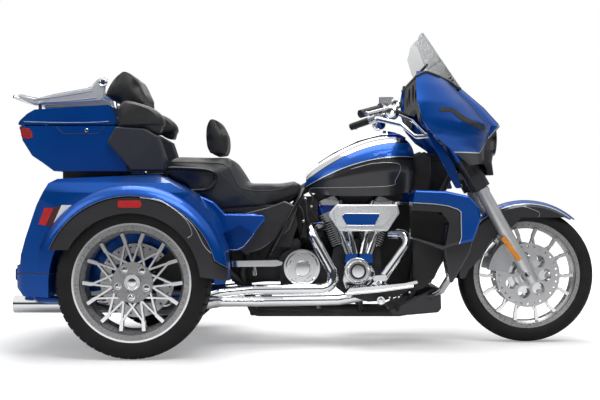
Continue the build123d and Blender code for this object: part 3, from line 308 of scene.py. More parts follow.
def plain(name, clouds, rough, bump=None, **settings):
    """A finish without a drawn pattern. Each row starts with the scale and the detail of its noise."""
    n = Nodes(name)
    if bump:
        settings["Normal"] = n.grain(*bump)
    return n.set(Base_Color=n.clouds(*clouds), Roughness=n.uneven(*rough), **settings)


def seat_leather():
    """Black leather on the crown of the seat, a little greyer below it."""
    n = Nodes("seat_leather")
    _, _, z = n.axes()
    crown = n.convex((-0.418, 0.839), (-0.368, 0.758), (-0.286, 0.659), (-0.178, 0.609), (0.2, 0.56),
        (0.2, 0.9), (-0.418, 0.9))
    top = n.math("MINIMUM", crown, n.math("SUBTRACT", 0.832, z))
    black = n.clouds(10, 5, (0.004, 0.004, 0.004), (0.012, 0.012, 0.012))
    dusk = n.clouds(10, 5, (0.016, 0.017, 0.019), (0.03, 0.031, 0.034))
    creases = n.math("MULTIPLY_ADD", n.noise(60, 4), 0.35, n.pores())
    return n.set(Base_Color=n.mix(n.over(top, 0.0, 0.002), black, dusk),
        Roughness=n.uneven(30, 4, 0.38, 0.54), Sheen_Weight=0.1, Normal=n.bump(creases, 0.0012, 0.7))


def smoked_screen():
    """Smoked glass that clears towards its upper edge."""
    n = Nodes("smoked_screen")
    _, _, z = n.axes()
    inputs = {"Value": z, "From Min": 1.2, "From Max": 1.46, "To Min": 0.0, "To Max": 1.0}
    fade = n.add("ShaderNodeMapRange", inputs).outputs["Result"]
    return n.set(Base_Color=n.ramp(fade, (0.0, (0.3, 0.31, 0.32)), (1.0, (0.6, 0.62, 0.63))),
        Roughness=n.uneven(40, 3, 0.02, 0.05), Transmission_Weight=0.85, IOR=1.2, Alpha=0.55)


def ribbed_lens(name, colours, rough, coat, pitch, distance, slanted=True):
    """A coloured lens with moulded ribs, level or slanted."""
    n = Nodes(name)
    x, _, z = n.axes()
    ribs = n.waves(n.math("ADD", x, z) if slanted else z, pitch)
    return n.set(Base_Color=n.clouds(*colours), Roughness=n.uneven(*rough), Coat_Weight=coat,
        Normal=n.bump(ribs, distance, 0.5))


def cast_rim(name, centre, outer, hub):
    """Polished faces on a darker satin casting, with the dark pockets at the rim between the stems."""
    n = Nodes(name)
    r = n.from_axle(centre)
    face = n.over(n.facing(), 0.86, 0.05)
    ring = n.math("MULTIPLY", n.over(r, outer - 0.034, 0.002), n.rest(n.over(r, outer - 0.008, 0.0015)))
    plate = n.rest(n.over(r, hub, 0.0015))
    dull = n.math("MAXIMUM", n.rest(face), n.math("MAXIMUM", ring, plate))
    bright = n.clouds(14, 4, (0.82, 0.83, 0.84), (0.92, 0.93, 0.94))
    satin = n.clouds(14, 4, (0.27, 0.27, 0.275), (0.4, 0.4, 0.405))
    return n.set(Base_Color=n.mix(dull, bright, satin), Metallic=n.math("MULTIPLY_ADD", dull, -0.45, 1.0),
        Roughness=n.math("MULTIPLY_ADD", dull, 0.16, n.uneven(80, 4, 0.08, 0.16)),
        Normal=n.grain(420, 2, 0.0001, 0.3))


def drilled_disc(name, centre):
    """A brake disc with turned rings."""
    n = Nodes(name)
    r = n.from_axle(centre)
    spread = n.add("ShaderNodeCombineXYZ", {0: n.math("MULTIPLY", r, 900.0)}).outputs[0]
    rings = n.add("ShaderNodeTexNoise", {"Vector": spread, "Scale": 1.0, "Detail": 3.0}).outputs["Fac"]
    return n.set(Base_Color=n.ramp(rings, (0.3, (0.52, 0.52, 0.53)), (0.75, (0.78, 0.78, 0.79))),
        Metallic=1.0, Roughness=n.between(rings, 0.22, 0.42), Normal=n.bump(rings, 0.0001, 0.4))


def console_finish():
    """A bright strip along the tank with a blue end at its front."""
    n = Nodes("console_two_tone")
    x, _, _ = n.axes()
    front = n.over(x, 0.385, 0.001)
    return n.set(Base_Color=n.mix(front, (0.82, 0.83, 0.85), paint_surface(n, (0.0, 0.03, 0.3), DEEP_BLUE)),
        Metallic=n.math("MULTIPLY_ADD", front, -0.4, 1.0), Roughness=n.uneven(60, 4, 0.08, 0.16),
        Coat_Weight=0.4, Normal=n.grain(300, 2, 0.0001, 0.2))


def satin_alloy(name, low, high, rough, metallic=0.75):
    return plain(name, (12, 4, low, high), (180, 4, rough, rough + 0.14), (600, 3, 0.0001, 0.3),
        Metallic=metallic)


def pod_skin():
    """The padded covers of the speaker pods: a soft blue-grey leather skin."""
    n = Nodes("pod_skin")
    return n.set(Base_Color=n.clouds(10, 5, (0.013, 0.015, 0.024), (0.024, 0.026, 0.036)),
        Roughness=n.uneven(30, 4, 0.4, 0.55), Normal=n.bump(n.pores(), 0.0008, 0.6))


def headlamp_finish():
    """Clear glass at the front with turned reflector rings, in a black shell."""
    n = Nodes("headlamp_glass")
    _, y, z = n.axes()
    r = n.length(y, n.math("SUBTRACT", z, 0.958))
    shell = n.over(r, 0.068, 0.001)
    cells = n.math("MULTIPLY", n.waves(y, 420.0), n.waves(r, 520.0))
    return n.set(Base_Color=n.mix(shell, n.ramp(cells, (0.2, (0.45, 0.47, 0.5)), (0.8, (0.92, 0.94, 0.97))),
        BLACK), Metallic=n.math("MULTIPLY_ADD", shell, -0.5, 0.55), Coat_Weight=1.0,
        Roughness=n.uneven(90, 2, 0.06, 0.14), Normal=n.bump(cells, 0.0006, 0.5))


def rocker_finish():
    """Blue rocker housings under bright covers."""
    n = Nodes("rocker_two_tone")
    _, _, z = n.axes()
    top = n.over(z, 0.648, 0.001)
    return n.set(Base_Color=n.mix(top, paint_surface(n, (0.0, 0.05, 0.4), DEEP_BLUE), (0.8, 0.81, 0.83)),
        Metallic=n.math("MULTIPLY_ADD", top, 0.4, 0.6), Roughness=n.uneven(50, 4, 0.1, 0.22),
        Coat_Weight=0.5, Normal=n.grain(300, 2, 0.0002, 0.3))


def finned_barrel():
    """Black barrels with the machined edges of the fins bright."""
    n = Nodes("finned_barrel")
    edge = n.over(n.facing(), 0.75, 0.08)
    black = n.clouds(20, 4, (0.01, 0.01, 0.011), (0.028, 0.028, 0.03))
    return n.set(Base_Color=n.mix(edge, black, (0.5, 0.5, 0.51)),
        Metallic=n.math("MULTIPLY_ADD", edge, 0.6, 0.3), Roughness=n.uneven(900, 4, 0.34, 0.55),
        Normal=n.grain(900, 4, 0.0004, 0.6))


def rear_lamp_lens():
    """Red lenses with a white reversing part at the front of each side lamp."""
    n = Nodes("rear_lamp_lens")
    x, y, z = n.axes()
    slant = n.math("MULTIPLY_ADD", n.math("SUBTRACT", z, 0.606), -0.45, x)
    side = n.math("MULTIPLY", n.over(n.math("ABSOLUTE", y), 0.63), n.rest(n.over(x, -0.9)))
    white = n.math("MULTIPLY", side, n.over(slant, -1.046))
    gap = n.math("MULTIPLY", side, n.math("MULTIPLY", n.over(slant, -1.074), n.rest(n.over(slant, -1.046))))
    red = n.clouds(30, 3, (0.42, 0.003, 0.006), (0.62, 0.006, 0.01))
    ribs = n.waves(n.math("ADD", z, x), 1300)
    return n.set(Base_Color=n.mix(gap, n.mix(white, red, (0.75, 0.78, 0.8)), (0.06, 0.006, 0.008)),
        Roughness=n.uneven(80, 2, 0.05, 0.12), Coat_Weight=0.6, Normal=n.bump(ribs, 0.0003, 0.4))


PLAIN = {
    "black_satin": dict(clouds=(12, 4, (0.014, 0.014, 0.015), (0.03, 0.03, 0.032), 0.75),
        rough=(700, 3, 0.38, 0.52), bump=(700, 3, 0.0003, 0.4), Metallic=0.2),
    "chrome": dict(clouds=(6, 4, (0.78, 0.79, 0.81), (0.88, 0.89, 0.9)), rough=(60, 5, 0.04, 0.11),
        bump=(350, 2, 0.0001, 0.15), Metallic=1.0),
    "silver_metal": dict(clouds=(9, 4, (0.42, 0.43, 0.45), (0.58, 0.59, 0.61)), rough=(120, 4, 0.24, 0.4),
        bump=(500, 3, 0.0002, 0.3), Metallic=0.9),
    "cast_black": dict(clouds=(20, 4, (0.018, 0.018, 0.02), (0.05, 0.05, 0.055)), rough=(900, 4, 0.36, 0.6),
        bump=(900, 4, 0.0006, 0.8), Metallic=0.45),
    "disc_steel": dict(clouds=(30, 4, (0.4, 0.4, 0.41), (0.6, 0.6, 0.61)), rough=(300, 5, 0.2, 0.42),
        Metallic=1.0),
    "tyre_rubber": dict(clouds=(14, 4, (0.004, 0.004, 0.0045), (0.011, 0.011, 0.012)),
        rough=(500, 4, 0.6, 0.8), bump=(500, 4, 0.0005, 0.5), Specular_IOR_Level=0.3),
    "grip_rubber": dict(clouds=(60, 4, (0.01, 0.01, 0.011), (0.025, 0.025, 0.026)),
        rough=(300, 3, 0.5, 0.7), bump=(900, 2, 0.0005, 0.6)),
    "lamp_glass": dict(clouds=(40, 2, (0.8, 0.84, 0.88), (0.95, 0.97, 1.0)), rough=(90, 2, 0.02, 0.06),
        Transmission_Weight=0.7, IOR=1.45),
    "dash_plastic": dict(clouds=(25, 3, (0.014, 0.014, 0.015), (0.03, 0.03, 0.032)),
        rough=(800, 3, 0.5, 0.68), bump=(800, 3, 0.0004, 0.6)),
    "belt_rubber": dict(clouds=(40, 3, (0.01, 0.01, 0.01), (0.025, 0.025, 0.025)),
        rough=(200, 3, 0.55, 0.75), bump=(600, 2, 0.0004, 0.5)),
}
finish = {name: plain(name, **row) for name, row in PLAIN.items()}
finish |= {
    "blue_paint": painted("blue_paint", BLUE, DEEP_BLUE),
    "grey_paint": painted("grey_paint", GREY, DEEP_GREY, 0.5, 0.34),
    "black_paint": painted("black_paint", BLACK, DEEP_BLACK, 0.1, 0.25),
    "smoked_screen": smoked_screen(),
    "red_lens": ribbed_lens("red_lens", (30, 3, (0.28, 0.004, 0.008), (0.5, 0.008, 0.012)),
        (80, 2, 0.05, 0.12), 0.6, 900, 0.0004, slanted=False),
    "seat_cover": seat_leather(),
}
amber_lens = ribbed_lens("amber_lens", (60, 3, (0.75, 0.23, 0.01), (0.9, 0.33, 0.02)), (90, 2, 0.08, 0.18),
    0.5, 1500, 0.0003)
rack_alloy = satin_alloy("rack_alloy", (0.66, 0.67, 0.68), (0.7, 0.71, 0.72), 0.16, 0.35)
special = {
    "air_cleaner": satin_alloy("cleaner_alloy", (0.72, 0.73, 0.74), (0.84, 0.85, 0.86), 0.22, 0.35),
    "speaker_pods": pod_skin(),
    "tank_console": console_finish(),
    "fork_sliders": satin_alloy("slider_alloy", (0.62, 0.63, 0.64), (0.74, 0.75, 0.76), 0.3),
    "hand_controls": satin_alloy("control_alloy", (0.7, 0.71, 0.73), (0.85, 0.86, 0.88), 0.14),
    "headlamp": headlamp_finish(),
    "rocker_boxes": rocker_finish(),
    "cylinders": finned_barrel(),
    "side_covers": two_tone("side_two_tone", side_border, 0.0015, 0.004),
    "fuel_tank": two_tone("tank_two_tone", tank_border, 0.0018, 0.012, bright=tank_top),
    "rear_body": two_tone("rear_two_tone", rear_border, 0.0004, 0.006),
    "fairing_outer": two_tone("fairing_two_tone", fairing_border, 0.0025, 0.006),
    "front_fender": two_tone("fender_two_tone", front_fender_border, 0.0018, 0.008),
    "lower_fairings": two_tone("lower_two_tone", lower_fairing_border, 0.0018, 0.006, ((0.44, 0.626),
        (0.592, 0.617), (0.627, 0.572), (0.608, 0.47), (0.44, 0.516))),
    "front_rim": cast_rim("front_rim_cast", front_axle, 0.2588, 0.03),
    "rear_rim_right": cast_rim("rear_rim_cast", rear_axle, 0.2505, 0.088),
    "front_discs": drilled_disc("front_disc_turned", front_axle),
    "rear_disc_right": drilled_disc("rear_disc_turned", rear_axle),
    "rear_lamps": rear_lamp_lens(),
}
special["rear_rim_left"] = special["rear_rim_right"]
special["rear_disc_left"] = special["rear_disc_right"]


def smooth(mesh, sharp_angle=None):
    """Smooth shading, with edges above that many degrees left sharp."""
    mesh.polygons.foreach_set("use_smooth", [True] * len(mesh.polygons))
    if sharp_angle:
        mesh.set_sharp_from_angle(angle=math.radians(sharp_angle))


for part in frame["record"]["subparts"]:
    shape = node[part["node"]]
    shape.data.materials.clear()
    shape.data.materials.append(special.get(part["node"]) or finish[part["material_slot"]])
    smooth(shape.data)
    weld = shape.modifiers.new("weld", "WELD")
    weld.merge_threshold = 0.00002
    crease = shape.modifiers.new("crease", "EDGE_SPLIT")
    crease.split_angle = math.radians(36)
    if part["node"] not in ("fairing_outer", "fuel_tank", "windshield"):
        flat = shape.modifiers.new("flat", "WEIGHTED_NORMAL")
        flat.keep_sharp = True


# ---- piece kit
EYE = Vector((-0.03, -5.2, 0.672))
FOCAL, PICTURE_WIDTH, PICTURE_HEIGHT = 1090, 600, 400
SIDES = (1, -1)
TO_RIGHT = (0, -1, 0)


def at(px, py, y):
    """The point at that pixel of the photograph and that depth."""
    reach = (y - EYE.y) / FOCAL
    return Vector((EYE.x + (px - PICTURE_WIDTH / 2) * reach, y, EYE.z + (PICTURE_HEIGHT / 2 - py) * reach))


def spots(name, depth=None):
    """A piece's points, each with its own depth or all at the depth that is given."""
    return [at(*p) if depth is None else at(*p, depth) for p in SEEN[name]]


def flip(points, side):
    return [Vector((p[0], p[1] * side, p[2])) for p in points]


def pair(points):
    """The same run on the right and on the left."""
    return [flip(points, side) for side in SIDES]


def solid_of(*names):
    """The surface of some nodes or pieces, for finding where a line of sight meets it."""
    corners, faces = [], []
    for name in names:
        mesh = node[name].data if name in node else bpy.data.objects[name].data
        start = len(corners)
        corners += [v.co.copy() for v in mesh.vertices]
        faces += [[start + i for i in p.vertices] for p in mesh.polygons]
    return BVHTree.FromPolygons(corners, faces)


def place(obj, body, slot, material=None):
    obj.data.materials.append(material or finish[slot])
    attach(obj, body)
    return obj


def stand(name, data, body, slot, material=None):
    obj = bpy.data.objects.new(name, data)
    bpy.context.scene.collection.objects.link(obj)
    return place(obj, body, slot, material)


def bmesh_piece(name, bm, body, slot, material=None):
    bmesh.ops.recalc_face_normals(bm, faces=bm.faces)
    mesh = bpy.data.meshes.new(name)
    bm.to_mesh(mesh)
    bm.free()
    smooth(mesh, 35)
    stand(name, mesh, body, slot, material)


def tubes(name, runs, radius, body, slot, closed=False, detail=2):
    """Thin rods through lists of points."""
    curve = bpy.data.curves.new(name, "CURVE")
    curve.dimensions = "3D"
    curve.bevel_depth = radius
    curve.bevel_resolution = detail
    curve.use_fill_caps = True
    for points in runs:
        spline = curve.splines.new("POLY")
        spline.points.add(len(points) - 1)
        for spot, p in zip(spline.points, points):
            spot.co = (*p, 1)
        spline.use_cyclic_u = closed
    return stand(name, curve, body, slot)


def rounded(points, closed=False, steps=6):
    """A Catmull-Rom run through points in the picture or in space."""
    row = [Vector(p) for p in points]
    count = len(row)
    out = []
    for i in range(count if closed else count - 1):
        near = [(i + k) % count if closed else min(max(i + k, 0), count - 1) for k in (-1, 0, 1, 2)]
        a, b, c, d = (row[k] for k in near)
        for k in range(steps):
            t = k / steps
            out.append(0.5 * ((2 * b) + (c - a) * t + (2 * a - 5 * b + 4 * c - d) * t * t
                + (3 * b - a - 3 * c + d) * t ** 3))
    if not closed:
        out.append(row[-1])
    return out


def seen_on(tree, px, py, lift=0.0):
    """Where the camera's line through that pixel meets a surface."""
    spot, normal, _, _ = tree.ray_cast(EYE, (at(px, py, 0) - EYE).normalized())
    if spot is None:
        return None
    if normal.y > 0:
        normal = -normal
    return spot + normal * lift


def facing_spot(tree, name, lift=0.0):
    """The spot seen on a surface, or the pixel's place at about the engine's side."""
    (px, py), = SEEN[name]
    return seen_on(tree, px, py, lift) or at(px, py, -0.15)


def traced(name, tree, radius, body, slot, along=None, closed=False, lift=0.0, both=True, steps=6):
    """A stripe or seam that follows the surface along its own outline or another piece's."""
    row = [seen_on(tree, p.x, p.y, lift) for p in rounded(SEEN[along or name], closed, steps)]
    row = [p for p in row if p is not None]
    tubes(name, pair(row) if both else [row], radius, body, slot, closed)


def draped(name, tree, body, slot, lift, thick, edge, step=1.6, both=True):
    """A thin plate that lies on the surface inside the piece's outline."""
    ring = rounded(SEEN[name], True, edge)
    low = [min(p[i] for p in ring) for i in (0, 1)]
    high = [max(p[i] for p in ring) for i in (0, 1)]

    def inside(x, y):
        odd = False
        for (x0, y0), (x1, y1) in zip(ring, ring[1:] + ring[:1]):
            if (y0 > y) != (y1 > y) and x < (x1 - x0) * (y - y0) / (y1 - y0) + x0:
                odd = not odd
        return odd

    columns, rows = (int((high[i] - low[i]) / step) + 1 for i in (0, 1))
    inner = [Vector((low[0] + i * step + 0.37, low[1] + j * step + 0.41)) for i in range(columns)
        for j in range(rows)]
    inner = [p for p in inner if inside(p.x, p.y) and min((p - q).length for q in ring) > step * 0.35]
    spots, _, cells, *_ = geometry.delaunay_2d_cdt(ring + inner, [], [list(range(len(ring)))], 1, 1e-4)
    corners = [seen_on(tree, p.x, p.y, lift) for p in spots]
    under = [seen_on(tree, p.x, p.y, lift - thick) for p in spots]
    cells = [c for c in cells if all(corners[i] is not None for i in c)]
    n = len(corners)
    all_corners = [c or Vector((0, 0, 0)) for c in corners] + [c or Vector((0, 0, 0)) for c in under]
    edges = {}
    for c in cells:
        for a, b in zip(c, list(c[1:]) + [c[0]]):
            edges[(a, b)] = edges.get((a, b), 0) + 1
    rim = [(a, b) for a, b in edges if (b, a) not in edges]
    faces = [list(c) for c in cells] + [[i + n for i in reversed(c)] for c in cells] + [[b, a, a + n, b + n]
        for a, b in rim]
    bm = bmesh.new()
    for side in (SIDES if both else (1,)):
        made = [bm.verts.new((c[0], c[1] * side, c[2])) for c in all_corners]
        for face in faces:
            bm.faces.new([made[i] for i in face])
    loose = [v for v in bm.verts if not v.link_faces]
    bmesh.ops.delete(bm, geom=loose, context="VERTS")
    bmesh_piece(name, bm, body, slot)


def turned(bm, centre, axis, profile, steps):
    """Adds a turned shape to a mesh: profile is (distance along the axis, radius) pairs."""
    turn = Vector((0, 0, 1)).rotation_difference(Vector(axis).normalized()).to_matrix()
    rows = []
    for along, r in profile:
        if r < 1e-6:
            rows.append([bm.verts.new(Vector(centre) + turn @ Vector((0, 0, along)))])
        else:
            angles = [2 * math.pi * k / steps for k in range(steps)]
            around = [Vector((r * math.cos(a), r * math.sin(a), along)) for a in angles]
            rows.append([bm.verts.new(Vector(centre) + turn @ p) for p in around])
    for a, b in zip(rows, rows[1:]):
        for k in range(max(len(a), len(b))):
            face = []
            for v in (a[k % len(a)], a[(k + 1) % len(a)], b[(k + 1) % len(b)], b[k % len(b)]):
                if v not in face:
                    face.append(v)
            if len(face) > 2:
                bm.faces.new(face)


def turned_piece(name, spots, profile, steps, body, slot):
    """One profile turned at each spot, given as (centre, axis) or (centre, axis, size)."""
    bm = bmesh.new()
    for centre, axis, *size in spots:
        scale = size[0] if size else 1.0
        turned(bm, centre, axis, [(along * scale, r * scale) for along, r in profile], steps)
    bmesh_piece(name, bm, body, slot)


def outward(spot, raised=0.0):
    """That spot and its twin on the left, each with its outward direction."""
    return [((spot.x, (spot.y - raised) * side, spot.z), (0, -side, 0)) for side in SIDES]


def round_hub(centre, radius, raised, angles):
    """Spots on a circle about a hub, facing right."""
    return [(centre + Vector((radius * math.cos(a), -raised, radius * math.sin(a))), TO_RIGHT)
        for a in angles]


def found(name, tree, aim):
    """The piece's spots as seen on a surface, each with that direction."""
    row = [seen_on(tree, px, py) for px, py in SEEN[name]]
    return [(spot, aim) for spot in row if spot is not None]


def studs(name, spots, radius, height, body, slot, steps=6, both=False):
    """Screw and bolt heads, each a short hexagon or dome at (point, direction)."""
    bm = bmesh.new()
    for spot, aim in spots:
        for side in (SIDES if both else (1,)):
            centre = Vector((spot[0], spot[1] * side, spot[2]))
            turned(bm, centre, (aim[0], aim[1] * side, aim[2]), ((-0.002, radius), (height * 0.6, radius),
                (height, radius * 0.72), (height, radius * 0.4), (height * 0.6, radius * 0.35),
                (height * 0.6, 0)), steps)
    bmesh_piece(name, bm, body, slot)


def lofted(name, rings, body, slot, material=None, both=False, bevel=0.0):
    """A closed skin through rings of equal length."""
    bm = bmesh.new()
    for side in (SIDES if both else (1,)):
        rows = [[bm.verts.new((p[0], p[1] * side, p[2])) for p in ring] for ring in rings]
        for a, b in zip(rows, rows[1:]):
            for k in range(len(a)):
                bm.faces.new((a[k], a[(k + 1) % len(a)], b[(k + 1) % len(a)], b[k]))
        bm.faces.new(rows[0])
        bm.faces.new(rows[-1])
    if bevel:
        bmesh.ops.recalc_face_normals(bm, faces=bm.faces)
        sharp = [e for e in bm.edges if len(e.link_faces) == 2 and e.calc_face_angle(0) > 0.5]
        bmesh.ops.bevel(bm, geom=sharp, offset=bevel, segments=3, affect="EDGES", clamp_overlap=True)
    bmesh_piece(name, bm, body, slot, material)


def filler(name, outline, near, far, slot, bevel):
    """A block on the chassis from an outline in x and z, between two depths."""
    lofted(name, [[(x, y, z) for x, z in outline] for y in (near, far)], "chassis", slot, bevel=bevel)


def slab(name, near, deep, body, slot, bevel, material=None, taper=0.0):
    """A solid panel: the piece's outline at the depth of its near face, carried inwards."""
    ring = spots(name, -near)
    middle = sum(ring, Vector()) / len(ring)
    inner = [middle + (p - middle) * (1 - taper) for p in ring]
    rows = [[Vector((p.x, -near, p.z)) for p in ring], [Vector((p.x, -deep, p.z)) for p in inner]]
    lofted(name, rows, body, slot, material, True, bevel)


def pillow(name, near, deep, body, slot, puff, steps=14):
    """A stuffed pad: the piece's outline, pulled in towards both of its flat ends."""
    ring = [at(p.x, p.y, -near) for p in rounded(SEEN[name], True, 5)]
    middle = sum(ring, Vector()) / len(ring)
    rows = []
    for k in range(steps + 1):
        t = 2 * k / steps - 1
        scale = 1 - puff * (1 - math.sqrt(max(0.0, 1 - abs(t) ** 3)))
        y = (near + deep) / 2 - (near - deep) / 2 * t
        rows.append([Vector((middle.x + (p.x - middle.x) * scale, -y, middle.z + (p.z - middle.z) * scale))
            for p in ring])
    lofted(name, rows, body, slot, both=True)


# ---- outlines and spots in the photograph, in pixels; a third number is a depth in metres or a size
SEEN = {
    "tank_loop": ((351, 169), (373, 163.5), (395.5, 163), (400.8, 168), (395.5, 180), (388.6, 186),
        (330, 187.6), (312, 188.3), (307.6, 192.5)),
    "lip_stripe": ((140, 197.6), (162, 202), (183.6, 217.3), (192, 232.6), (187.5, 238)),
    "body_stripe": ((152, 198.5), (165.3, 203), (191.3, 223.4), (203.6, 245), (211.2, 253.3)),
    "front_lip_loop": ((466, 216), (480, 209.3), (499, 205.8), (520, 206), (536, 210.6), (540, 214),
        (537.5, 218)),
    "vent_slash": ((440, 108.2), (450, 107.6), (455, 109.6), (462, 114.6), (474, 121.6), (484.3, 127),
        (484.2, 129.8), (480, 129.6), (470, 124.8), (459, 118.6), (451, 111.8), (440.4, 111.8)),
    "screen_trim": ((416, 76.5), (421, 73.6), (426.5, 72.2), (437, 76), (448, 81.5), (459, 88.5)),
    "fork_panels": ((421.4, 124.5), (430.4, 133), (446, 150.5), (455, 166), (462, 188), (456, 188.5),
        (447, 172.5), (438.7, 156.4), (430.5, 141), (425.5, 131)),
    "wing_panels": ((221, 213.2), (254.4, 213.2), (260, 214.4), (262.5, 218.4), (253.5, 237), (244, 248),
        (238.2, 251.3), (221, 251.3)),
    "wing_stripe": ((226, 214.6), (253.8, 214.8), (258.6, 215.8), (260.4, 218.6), (252.2, 236),
        (243.2, 246.6), (237.6, 249.6), (226, 249.8)),
    "wrap_pads": ((117, 108), (120.5, 102), (127, 99.8), (140, 103), (152, 107.5), (161, 115),
        (163.5, 122.5), (160, 126.6), (146, 127), (120, 127), (117.5, 118)),
    "radiator_shroud": ((413, 226), (430, 238), (444, 247), (443, 260), (434.5, 278.5), (422.5, 289),
        (413, 292)),
    "side_rail_tube": ((304, 189, -0.15), (299, 199, -0.185), (287, 222, -0.203), (273.5, 247.5, -0.2),
        (268, 258, -0.17)),
    "engine_hoses": (((301, 192, -0.075), (306, 203, -0.085), (307, 216, -0.08), (312, 230, -0.07)),
        ((309, 191, -0.07), (313, 198, -0.082), (311, 209, -0.078), (318, 221, -0.066)), ((298, 205, -0.07),
        (303, 212, -0.076), (304, 226, -0.074), (301, 238, -0.066))),
    "engine_fittings": ((305.5, 199, 1.0), (311.5, 206.5, 0.8), (303.5, 221, 0.9)),
    "board_hanger": ((352, 292), (372, 290), (398, 286.5), (413, 284.5), (410, 290), (399, 296), (384, 301),
        (368, 302), (352, 297)),
    "board_edge": ((345.5, 294.4, -0.338), (380, 291.2, -0.34), (413.5, 286.4, -0.338)),
    "cleaner_insert": ((342.3, 216.6), (344.2, 214.4), (347, 213.4), (378, 213.8), (379.7, 214.6),
        (375.4, 224.4), (373.5, 225.3), (348.5, 225.3), (346.2, 224.2)),
    "cleaner_edge": ((333.5, 212.5), (344, 206), (395.5, 206.4), (395.5, 212), (387.5, 229.3),
        (344, 228.2)),
    "cam_cover": ((358.2, 271.4),),
    "clutch_cover": ((302.5, 268.5),),
    "brake_pad": ((380.8, 300.4),),
    "board_screws": ((389.6, 297.4), (398.8, 296.8), (409.5, 292)),
    "grab_rail_tube": ((168, 169), (182, 168.5), (208, 170.5), (215, 174.5), (214.5, 182), (208, 189),
        (198, 190.5), (176, 190.5), (170, 184), (165.5, 174)),
    "grab_rail_bolts": ((172, 172), (200, 186)),
    "fork_cover_bolts": ((436, 139.5), (438.6, 144), (457.5, 172), (461.8, 185.4)),
    "fork_reflectors": ((502.6, 237.5), (520, 260.5)),
    "axle_hole": ((526.7, 274.5),),
    "switch_housings": ((391.5, 112.5, -0.395), (397, 103.5, -0.37)),
    "screen_screws": ((450, 78), (463, 88), (445, 86), (455, 92)),
    "box_lamp": ((15.6, 128.4), (29.2, 128.4), (32.9, 137.4), (21.2, 138.4)),
    "box_latch": ((54, 124.2), (61, 131.8), (67, 133.8), (96, 133.8), (101, 131.6), (106, 124.2)),
    "box_locks": ((86.7, 130.4),),
    "bumper_seam": ((13.6, 273.4), (30, 273.2), (56, 273.2)),
    "bumper_bead": ((13.4, 275.2), (30, 274.9), (56, 274.9)),
    "lid_edge": ((17, 125.6), (60, 125.6), (112, 124.2)),
    "lid_painted_highlight": ((24, 121.6), (60, 122.6), (90, 122.4), (109, 121.4)),
    "rack_rails": ((15.6, 95.1), (19.1, 93.8), (29.3, 96.2), (38.3, 97.9), (53.6, 93.8), (89.3, 87.4),
        (96.9, 79.6), (100.8, 77.4), (106.5, 77.4), (108.2, 80.4), (105.2, 86.5), (104.6, 98.5),
        (101, 101.6), (76.5, 103.4), (42.1, 105), (34.4, 105), (21.7, 99)),
    "rack_ribs": (((34, 99.6), (56, 97), (92, 91)), ((40, 102.8), (72, 100.6), (97, 97.6))),
    "rack_ring": ((103, 82.6),),
    "lid_plate": ((44, 105.4), (76, 102.8), (104, 99.4), (109, 99.6), (110.5, 106.4), (75, 107.2),
        (44, 108.4)),
    "seat_welt": ((166, 162), (190, 162.6), (222, 164), (231, 172), (240, 187), (262, 191), (283, 188.5),
        (298, 181.5)),
    "seat_panel_seam": ((219, 172), (238.8, 192.4), (252, 200.5), (267.3, 208.8)),
    "rider_pad_welt": ((209.5, 120.5), (213.5, 119.8), (218.5, 125), (224.5, 142), (224, 152)),
    "arm_pad_welt": ((119, 109.5), (130, 109), (149, 115), (167, 123), (178, 129)),
    "back_pad_welt": ((110, 95), (121, 73.5), (131, 76), (143, 93), (150, 103)),
}

# ---- tyres
LUG_STEPS, TREAD_DEPTH = 10, 0.006


def tyre(name, replaced, axle, y_mid, half, outer, bead, body, section, lugs, slant, ribs):
    """A tyre with a cut tread: section is (share of half width, share of height), bead to crown."""
    tall = outer - bead
    flank = [tuple(p) for p in rounded([(w * half, bead + h * tall) for w, h in section], False, 4)]
    across = flank + [(-w, r) for w, r in reversed(flank[:-1])]
    steps = lugs * LUG_STEPS
    corners, faces = [], []
    for i in range(steps):
        angle = 2 * math.pi * i / steps
        for w, r in across:
            share = w / half
            turn = (i / LUG_STEPS + slant * abs(share) * 2 + (0.5 if share < 0 else 0)) % 1
            slot = 0.3 < abs(share) < 0.93 and turn < 0.16
            groove = any(abs(abs(share) - rib) < 0.035 for rib in ribs)
            depth = TREAD_DEPTH if r > outer - 0.2 * tall and (slot or groove) else 0.0
            corners.append((axle.x + math.sin(angle) * (r - depth), y_mid + w, axle.z
                + math.cos(angle) * (r - depth)))
    n = len(across)
    for i in range(steps):
        j = (i + 1) % steps
        for k in range(n - 1):
            faces.append((i * n + k, j * n + k, j * n + k + 1, i * n + k + 1))
        faces.append((i * n + n - 1, j * n + n - 1, j * n, i * n))
    mesh = bpy.data.meshes.new(name)
    mesh.from_pydata(corners, [], faces)
    mesh.update()
    smooth(mesh, 28)
    obj = stand(name, mesh, body, "tyre_rubber")
    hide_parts(replaced)


car_section = [(0.86, 0.0), (0.95, 0.12), (1.0, 0.42), (0.985, 0.68), (0.93, 0.86), (0.84, 0.94),
    (0.72, 0.972), (0.6, 0.985), (0.5, 0.99), (0.42, 0.993), (0.34, 0.996), (0.27, 0.998), (0.2, 0.999),
    (0.1, 1.0), (0.0, 1.0)]
bike_section = [(0.82, 0.0), (0.93, 0.14), (1.0, 0.36), (0.98, 0.56), (0.9, 0.72), (0.78, 0.83),
    (0.64, 0.905), (0.5, 0.95), (0.36, 0.977), (0.2, 0.993), (0.08, 1.0), (0.0, 1.0)]
for side, mark in ((-1, "right"), (1, "left")):
    tyre("tyre_tread_" + mark, "rear_tyre_" + mark, rear_axle, side * rear_wheel_y,
        (rear_high[1] - rear_low[1]) / 2, (rear_high[2] - rear_low[2]) / 2, 0.2435, "rear_wheel_" + mark,
        car_section, 52, 0.12, (0.2, 0.55))
tyre("tyre_tread_front", "front_tyre", front_axle, 0.0, (front_high[1] - front_low[1]) / 2,
    (front_high[2] - front_low[2]) / 2, 0.251, "front_wheel", bike_section, 36, 0.7, (0.12,))


